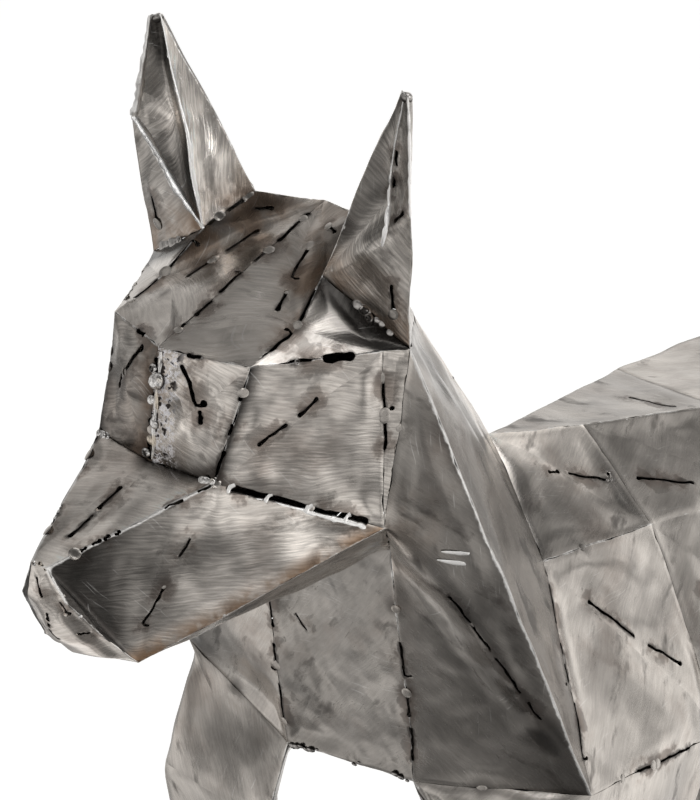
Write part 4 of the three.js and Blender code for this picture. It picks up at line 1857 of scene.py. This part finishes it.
@dataclass
class EdgeBar:
    """A rolled sheet edge or a run of weld: a bar along a line, its half thickness given in mm."""

    name: str
    path: list[Vector]
    facing: Vector
    thick: tuple[float, ...]
    flat: float = 1.0
    step: float = 3.0 * MM
    sides: int = 8
    uneven: float = 0.18
    weld: bool = False

    def centres(self) -> list[tuple[Vector, float]]:
        """Draw a smooth line through the path.

        Returns:
            Each place on the line, and the bar's half thickness there.
        """
        ends = [self.path[0], *self.path, self.path[-1]]
        found = []
        for i in range(len(self.path) - 1):
            p0, p1, p2, p3 = ends[i:i + 4]
            count = max(2, round((p2 - p1).length / self.step))
            for k in range(count + (i == len(self.path) - 2)):
                t = k / count
                spot = p1 * 2 + (p2 - p0) * t + (p0 * 2 - p1 * 5 + p2 * 4 - p3) * t * t
                spot = (spot + (p1 * 3 - p0 - p2 * 3 + p3) * t * t * t) / 2
                found.append((spot, (self.thick[i] * (1 - t) + self.thick[i + 1] * t) * MM))
        return found

    def build(self, finish: Finish, hand: HandWork) -> None:
        """Roll a grid into the bar, close its ends and set it in the frame.

        Args:
            finish: the bar's material.
            hand: how the dog is out of true.
        """
        rng = random.Random(self.name)
        line = self.centres()
        last = len(line) - 1
        bpy.ops.object.select_all(action="DESELECT")
        bpy.ops.mesh.primitive_grid_add(x_subdivisions=last, y_subdivisions=self.sides, size=2)
        bar = bpy.context.object
        bar.name = bar.data.name = self.name
        swell = [rng.uniform(1 - self.uneven, 1 + self.uneven) for _ in line]
        for vertex in bar.data.vertices:
            i = round((vertex.co.x + 1) / 2 * last)
            turn = (vertex.co.y + 1) * math.pi
            way = (line[min(i + 1, last)][0] - line[max(i - 1, 0)][0]).normalized()
            across = way.cross(self.facing).normalized()
            lift = across.cross(way)
            half = line[i][1] * swell[i]
            vertex.co = line[i][0] + (across * math.cos(turn) + lift * self.flat * math.sin(turn)) * half
        whole(bar)
        bpy.ops.mesh.remove_doubles(threshold=0.01 * MM)
        bpy.ops.mesh.fill_holes(sides=0)
        face_out()
        strip_maps(bar.data)
        smooth(bar, 60)
        bar.data.materials.append(finish)
        hand.leave(bar)
        hand_over(bar)


# Base and studio


@dataclass
class BaseSheet:
    """The low plate that the dog stands on."""

    node: str = "base_plate"
    edge: float = 1.2 * MM

    def build(self, finish: Finish) -> None:
        """Copy the plate, ease its edges and set it in the frame.

        Args:
            finish: the plate's material.
        """
        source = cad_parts[self.node]
        piece = bpy.data.objects.new(self.node + "_steel", source.data.copy())
        piece.data.materials.clear()
        bpy.context.scene.collection.objects.link(piece)
        whole(piece)
        bpy.ops.mesh.remove_doubles(threshold=0.02 * MM)
        bpy.ops.mesh.dissolve_limited(angle_limit=math.radians(1))
        done()
        modify(piece, "BEVEL", width=self.edge, segments=3, limit_method="ANGLE")
        smooth(piece, 30)
        piece.data.materials.append(finish)
        hand_over(piece, self.node)


@dataclass(frozen=True)
class Softbox:
    """A square soft light: where it hangs, what it points at, its side and its strength in watts."""

    name: str
    place: Spot
    aim: Spot
    size: float
    watts: float

    def hang(self) -> None:
        """Hang the light."""
        lamp = bpy.data.lights.new(self.name, "AREA")
        lamp.size = self.size
        lamp.energy = self.watts
        light = bpy.data.objects.new(self.name, lamp)
        light.location = self.place
        aim = Vector(self.aim) - Vector(self.place)
        light.rotation_euler = aim.to_track_quat("-Z", "Y").to_euler()
        bpy.context.scene.collection.objects.link(light)


@dataclass(frozen=True)
class Glow:
    """A bright part of the studio's walls: which way it lies, where it fades in and its strength."""

    facing: Spot
    low: float
    high: float
    strength: float


@dataclass
class Studio:
    """The pale floor, the soft lights and the camera."""

    azimuth: float = 41.08
    elevation: float = 28.0
    target: Spot = (0.0967, -0.4105, 0.8219)
    distance: float = 1.650
    lens: float = 123.75
    floor_size: float = 40.0
    lamps: tuple[Softbox, ...] = (
        Softbox("top_light", (0.5, 0.1, 2.95), (0.0, -0.4, 0.85), 1.25, 9.0),
        Softbox("side_light", (2.0, 0.35, 2.2), (0.0, -0.4, 0.85), 1.0, 8.0),
        Softbox("front_light", (2.2, -2.4, 2.2), (0.0, -0.4, 0.8), 0.5, 3.0),
    )
    dim: float = 0.15
    white: Tint = (1.0, 0.985, 0.965, 1.0)
    glows: tuple[Glow, ...] = (
        Glow((0.0, 0.97, -0.25), 0.05, 0.9, 0.58), Glow((0.72, 0.7, 0.0), 0.8, 1.0, 0.2),
        Glow((0.97, 0.0, -0.25), 0.55, 0.97, 0.52), Glow((-0.8, 0.1, 0.6), 0.3, 0.95, 0.2),
        Glow((-0.65, -0.45, -0.6), 0.5, 0.95, 0.42), Glow((-0.3, 0.58, -0.76), 0.72, 1.0, 0.16),
        Glow((0.1, -0.98, 0.1), 0.62, 0.97, 0.42),
    )

    def build(self, floor_finish: Finish) -> None:
        """Set out the studio.

        Args:
            floor_finish: the floor's material.
        """
        bpy.ops.object.select_all(action="DESELECT")
        bpy.ops.mesh.primitive_plane_add(size=self.floor_size, location=(0, 0, -0.5 * MM))
        floor = bpy.context.object
        floor.name = "floor"
        floor.data.materials.append(floor_finish)
        floor.visible_glossy = False
        self.sky()
        for lamp in self.lamps:
            lamp.hang()
        self.camera()
        bpy.context.scene.view_settings.view_transform = "Standard"

    def sky(self) -> None:
        """Fill the studio with soft light: brighter behind the dog and on its left."""
        b = NodeBoard(bpy.data.worlds.new("studio"))
        way = b.add("TexCoord").outputs["Generated"]
        total = self.dim
        for glow in self.glows:
            dot = b.add("VectorMath")
            dot.operation = "DOT_PRODUCT"
            b.feed(dot.inputs[0], way)
            b.feed(dot.inputs[1], Vector(glow.facing).normalized())
            total = b.plus(b.span(dot.outputs["Value"], glow.low, glow.high, 0.0, glow.strength), total)
        uneven = b.span(b.noise(way, 3.2, 1.5), 0.34, 0.66, 0.42, 1.7)
        light = b.add("Background", Color=self.white, Strength=b.times(total, uneven))
        bpy.context.scene.world = b.finish(light, "OutputWorld")

    def camera(self) -> None:
        """Stand the camera at the photograph's viewing angle."""
        lens = bpy.data.cameras.new("camera")
        lens.sensor_fit = "VERTICAL"
        lens.sensor_height = 36.0
        lens.lens = self.lens
        lens.clip_end = 100.0
        camera = bpy.data.objects.new("camera", lens)
        turn, tip = math.radians(self.azimuth), math.radians(self.elevation)
        back = Vector((math.sin(turn) * math.cos(tip), -math.cos(turn) * math.cos(tip), math.sin(tip)))
        camera.location = Vector(self.target) + back * self.distance
        camera.rotation_euler = (-back).to_track_quat("-Z", "Y").to_euler()
        bpy.context.scene.collection.objects.link(camera)
        bpy.context.scene.camera = camera


# Putting it together


@dataclass(frozen=True)
class Bead:
    """A run of standing weld along a part of a seam."""

    run: str
    edge: tuple[str, str]
    first: float
    last: float
    count: int
    size: float
    wander: float


@dataclass
class Welder:
    """Decides where tacks and beads go on the shell."""

    shell: DogShell
    shop: TackShop
    sharp: float = 34.0
    lit: Vector = field(default_factory=lambda: Vector((0.795, -0.211, 0.569)))
    spacing: dict[Place, float] = given({
        Place.HEAD: 72 * MM, Place.EAR: 120 * MM, Place.NECK: 85 * MM, Place.TRUNK: 110 * MM,
        Place.LEG: 90 * MM,
    })
    stopped: float = 0.24
    beads: tuple[Bead, ...] = (
        Bead("eye_beads", ("stop", "browMid"), 0.0, 0.92, 6, 1.5, 3.0 * MM),
        Bead("eye_beads", ("underEye", "stop"), 0.02, 0.2, 4, 0.9, 2.0 * MM),
        Bead("ear_beads", ("earFront", "earOuter"), 0.36, 0.8, 6, 1.1, 2.0 * MM),
        Bead("nose_beads", ("noseTop", "noseTopR"), 0.0, 1.0, 3, 0.5, 1.0 * MM),
        Bead("nose_beads", ("noseSide", "noseLow"), 0.36, 0.42, 1, 0.5, 0.8 * MM),
        Bead("chest_beads", ("throatLow", "throatLowR"), 0.04, 0.16, 3, 0.9, 2.0 * MM),
        Bead("chest_beads", ("throatLow", "throatLowR"), 0.4, 0.5, 2, 0.8, 2.0 * MM),
        Bead("chest_beads", ("throatLow", "throatLowR"), 0.78, 0.98, 5, 1.0, 2.6 * MM),
    )
    strokes: tuple[tuple[float, float, float, float], ...] = (
        (0.54, 0.22, 0.17, 0.36), (0.62, 0.21, 0.21, 0.37),
    )

    def run_name(self, place: Place) -> str:
        """Name the piece that a place's tacks are joined into."""
        return f"{place.value}_tacks"

    def slit_ends(self, slits: dict[str, list[Slit]]) -> None:
        """Stop some slits with a tack at an end, ground with the sheet.

        Args:
            slits: the slits of each plate.
        """
        seen = set()
        for name, plate in self.shell.plates.items():
            for slit in slits[name]:
                if id(slit) in seen or slit.width > 4 * MM:
                    continue
                seen.add(id(slit))
                rng = seeded("end ", slit.start, slit.end)
                along = (slit.end - slit.start).normalized()
                for at, way in ((slit.start, -along), (slit.end, along)):
                    if rng.random() < self.stopped:
                        off = at + way * rng.uniform(2.0, 4.5) * MM
                        tack = Tack(TackKind.GROUND, off, slit.normal, name, lies_flat=not slit.on_seam)
                        self.shop.put(self.run_name(plate.place), tack, rng)

    def seam_tacks(self) -> None:
        """Tack every seam at uneven steps: flush where it lies flat, small and sunk where it is sharp."""
        for seam in self.shell.seams.values():
            if seam.bare or len(set(seam.plates)) < 2:
                continue
            rng = seeded("seam ", seam.start, seam.end)
            count = int((seam.end - seam.start).length / self.spacing[seam.place])
            for i in range(count):
                spot = seam.at((i + 0.5 + rng.uniform(-0.3, 0.3)) / count)
                if abs(seam.bend) < self.sharp:
                    tack = Tack(TackKind.GROUND, spot, seam.normal, seam.plates[0])
                    size = rng.uniform(0.7, 1.0)
                else:
                    kind = rng.choice((TackKind.DOME, TackKind.PITTED))
                    tack = Tack(kind, spot, seam.normal, seam.plates[0], 1.0 * MM)
                    size = rng.uniform(0.4, 0.6)
                self.shop.put(self.run_name(seam.place), tack, rng, size)

    def lay_beads(self) -> None:
        """Lay the beads that were left standing."""
        for number, bead in enumerate(self.beads):
            for side in (1, -1):
                seam = self.shell.seam(*bead.edge, side)
                if side < 0 and seam is self.shell.seam(*bead.edge, 1):
                    continue
                rng = random.Random(f"bead {number} {side}")
                across = seam.normal.cross(seam.end - seam.start).normalized()
                forward = self.shell.runs_from(seam, bead.edge[0], side)
                for i in range(bead.count):
                    share = bead.first + (bead.last - bead.first) * (i + rng.uniform(0.2, 0.8)) / bead.count
                    spot = seam.at(share if forward else 1 - share)
                    spot += across * rng.uniform(-1, 1) * bead.wander
                    kind = TackKind.PITTED if rng.random() < 0.35 else TackKind.DOME
                    tack = Tack(kind, spot, seam.normal, seam.plates[0], -0.3 * MM)
                    size = bead.size * rng.uniform(0.55, 1.15)
                    self.shop.put(bead.run, tack, rng, size, rng.uniform(0.9, 1.6))

    def on_plate(self, node: str, spots: list[Vector], facing: Vector) -> list[Vector]:
        """Drop a line of spots onto a formed plate.

        Args:
            node: the plate.
            spots: the line.
            facing: which way the plate faces.

        Returns:
            The spots on the plate's surface.
        """
        tree = self.shell.surfaces({node})[node]
        return [tree.ray_cast(spot + facing * 18 * MM, -facing, 40 * MM)[0] or spot for spot in spots]

    def ear_edges(self) -> list[EdgeBar]:
        """List the ground edges of the ears: the right one's rolled rim and fold, the left one's strips.

        Returns:
            The bars to build.
        """
        names = ("earTipOut", "earTipIn", "earFlare", "earFront", "earInner")
        tip, inner, flare, front, root = (self.shell.corner(n, -1) for n in names)
        inward = (inner.lerp(front, 0.5) - flare).normalized() * 1.8 * MM + self.lit * 0.8 * MM
        roll = [tip + inward * 0.3, tip.lerp(flare, 0.45) + inward, flare + inward]
        lip = [flare.lerp(front, share) + inward for share in (0.0, 0.3, 0.65)] + [front + inward * 0.3]
        aside = (root - front).normalized() * MM
        steps = ((0, 0.3), (0.4, 0.9), (0.75, 2.0), (1, 0.6))
        fold = [inner.lerp(front, share) + aside * off for share, off in steps]
        found = [
            EdgeBar("ear_roll_right", roll, self.lit, (0.9, 2.4, 3.2), 0.5, uneven=0.3),
            EdgeBar("ear_lip_right", lip, self.lit, (3.0, 2.3, 3.0, 0.9), 0.17, uneven=0.3),
            EdgeBar("ear_fold_right", fold, self.lit, (0.4, 0.6, 1.6, 0.6), 0.2, uneven=0.25),
        ]
        names = ("earTipOut", "earTipIn", "earFlare", "earPocket", "earFront", "earOuter")
        tip, inner, flare, pocket, front, outer = (self.shell.corner(n) for n in names)
        strip = [
            inner.lerp(tip, 0.5), inner * 0.58 + pocket * 0.375 + front * 0.045,
            inner * 0.145 + pocket * 0.774 + front * 0.08, pocket * 0.7 + flare * 0.18 + front * 0.12,
            flare * 0.65 + pocket * 0.09 + front * 0.26, flare * 0.6 + front * 0.33 + outer * 0.07,
        ]
        facing = Vector((0.58, -0.67, 0.3)).normalized()
        strip = [spot + facing * 0.7 * MM for spot in self.on_plate("ear_cup_left", strip, facing)]
        edge = [tip, tip.lerp(flare, 0.5), flare]
        found += [
            EdgeBar("ear_roll_left", strip, self.lit, (0.8, 1.5, 1.9, 2.2, 2.6, 1.2), 0.4, uneven=0.35),
            EdgeBar("ear_fold_left", edge, self.lit, (0.5, 1.3, 0.7), 0.5, uneven=0.35),
        ]
        return found

    def ear_tips(self) -> None:
        """Close each ear's tip with a rounded weld."""
        for side, tag in ((1, "left"), (-1, "right")):
            tips = [self.shell.corner(n, side) for n in ("earTipIn", "earTipOut", "earTipRear")]
            spot = sum(tips, Vector()) / 3
            foot = (self.shell.corner("earFront", side) + self.shell.corner("earRear", side)) / 2
            up = (spot - foot).normalized()
            tack = Tack(TackKind.DOME, spot, up, f"ear_back_{tag}", 2.2 * MM)
            self.shop.put(self.run_name(Place.EAR), tack, random.Random(f"tip {tag}"), 0.85, 2.4)

    def eye_run(self) -> EdgeBar:
        """Lay the run of weld up the inner side of the left eye plate."""
        seam = self.shell.seam("stop", "browMid")
        path = [seam.at(0.03 + 0.94 * t / 6) + Vector(((2.4 + t % 2) * MM, 0, 0)) for t in range(7)]
        return EdgeBar(
            "eye_bead_run", path, seam.normal, (1.0, 1.8, 1.3, 2.0, 1.5, 2.2, 1.2), 0.8, 4.2 * MM,
            uneven=0.45, weld=True,
        )

    def mouth(self, side: int, tag: str) -> list[EdgeBar]:
        """List a mouth's lip and the posts across its slit.

        Args:
            side: 1 on the left, -1 on the right.
            tag: the side's word.

        Returns:
            The bars to build.
        """
        jaw, under = self.shell.corner("jaw", side), self.shell.corner("underEye", side)
        seam = self.shell.seam("underEye", "jaw", side)
        muzzle = next(i for i, name in enumerate(seam.plates) if name.startswith("muzzle"))
        along = (jaw - under).normalized()
        down = seam.middles[muzzle] - under
        down = (down - along * down.dot(along)).normalized()
        into = -seam.normal
        steps = ((0.08, 3.4), (0.4, 3.0), (0.7, 2.6), (0.9, 2.6))
        path = [under.lerp(jaw, share) + down * off * MM + into * 0.9 * MM for share, off in steps]
        facing = Vector((self.lit.x * side, *self.lit.yz))
        found = [EdgeBar(f"mouth_lip_{tag}", path, facing, (1.0, 1.5, 2.3, 1.9), 0.45, uneven=0.3)]
        for k, (share, size) in enumerate(((0.09, 2.0), (0.3, 1.5), (0.53, 2.2), (0.77, 1.7))):
            spot = under.lerp(jaw, share) + into * 0.4 * MM
            top = spot - down * 2.6 * MM + along * 1.8 * MM
            found.append(EdgeBar(
                f"mouth_post_{k + 1}_{tag}", [spot + down * 3.6 * MM, spot - down * 0.2 * MM, top],
                seam.normal, (size, size * 0.8, size * 1.1), 0.55, 1.4 * MM, uneven=0.25,
            ))
        return found

    def grind_strokes(self, side: int, tag: str) -> list[EdgeBar]:
        """List the grinder's strokes on a side of the neck.

        Args:
            side: 1 on the left, -1 on the right.
            tag: the side's word.

        Returns:
            The bars to build.
        """
        a, b, c = (self.shell.corner(n, side) for n in ("earOuter", "jaw", "shoulderPoint"))
        facing = (b - a).cross(c - a).normalized() * side
        found = []
        for k, (u0, v0, u1, v1) in enumerate(self.strokes):
            first, last = (a + (b - a) * u + (c - a) * v for u, v in ((u0, v0), (u1, v1)))
            line = self.on_plate(f"neck_side_{tag}", [first.lerp(last, t / 4) for t in range(5)], facing)
            found.append(EdgeBar(f"grind_stroke_{k + 1}_{tag}", line, facing, (0.4, 1.2, 1.5, 1.1, 0.4), 0.1))
        return found

    def bars(self) -> list[EdgeBar]:
        """List the rolled ear edges, the eye's run of weld, the mouths and the grinder's strokes.

        Returns:
            The bars to build.
        """
        found = [*self.ear_edges(), self.eye_run()]
        for side, tag in ((1, "left"), (-1, "right")):
            found += self.mouth(side, tag) + self.grind_strokes(side, tag)
        return found


def main() -> None:
    """Build the dog, its base and the studio."""
    logging.basicConfig(level=logging.INFO, format="%(message)s")
    weld = WeldMetal("weld_metal").build()
    pale: Tint = (0.78, 0.765, 0.75, 1.0)
    raised = WeldMetal("raised_weld", bright=pale, gloss=0.16, dirt=0.97, glaze=0.5).build()
    polished = WeldMetal("polished_edge", bright=(0.97, 0.96, 0.945, 1.0), gloss=0.3, dirt=0.35).build()
    scale = MillScale("mill_scale").build()
    shell = DogShell((Head(), Ears(), Neck(), Trunk(), Legs(), hind_legs()))
    shell.cut_out()
    kinds = sorted({(plate.ripple, plate.gloss) for plate in shell.plates.values()})
    steels = {
        kind: GroundSteel("ground_steel_%.2f_%.2f" % kind, ripple=kind[0], gloss=kind[1]).build()
        for kind in kinds
    }
    slits = SlitPlan().share_out(shell)
    shop = TackShop()
    welder = Welder(shell, shop)
    welder.slit_ends(slits)
    welder.seam_tacks()
    welder.lay_beads()
    welder.ear_tips()
    shell.form(slits)
    hand = shell.hand_work()
    tones = ToneAndShadeChart()
    for name, plate in shell.plates.items():
        low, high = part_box(name)
        near = [
            t for t in shop.spots
            if all(low[k] - NEAR < t[k] < high[k] + NEAR for k in range(3))
        ]
        plate.mark(slits[name], near, tones.of(name), tones.of_plate(name, shell))
        hand.leave(plate.piece)
        plate.dress(steels[plate.ripple, plate.gloss])
    finishes = {TackKind.GROUND: steels[kinds[0]], TackKind.DOME: weld, TackKind.PITTED: weld}
    shop.finish(shell, tones, finishes, raised, hand)
    for bar in welder.bars():
        bar.build(raised if bar.weld else polished, hand)
    BaseSheet().build(scale)
    Studio().build(FloorPaint("floor_white").build())


if __name__ == "__main__":
    main()
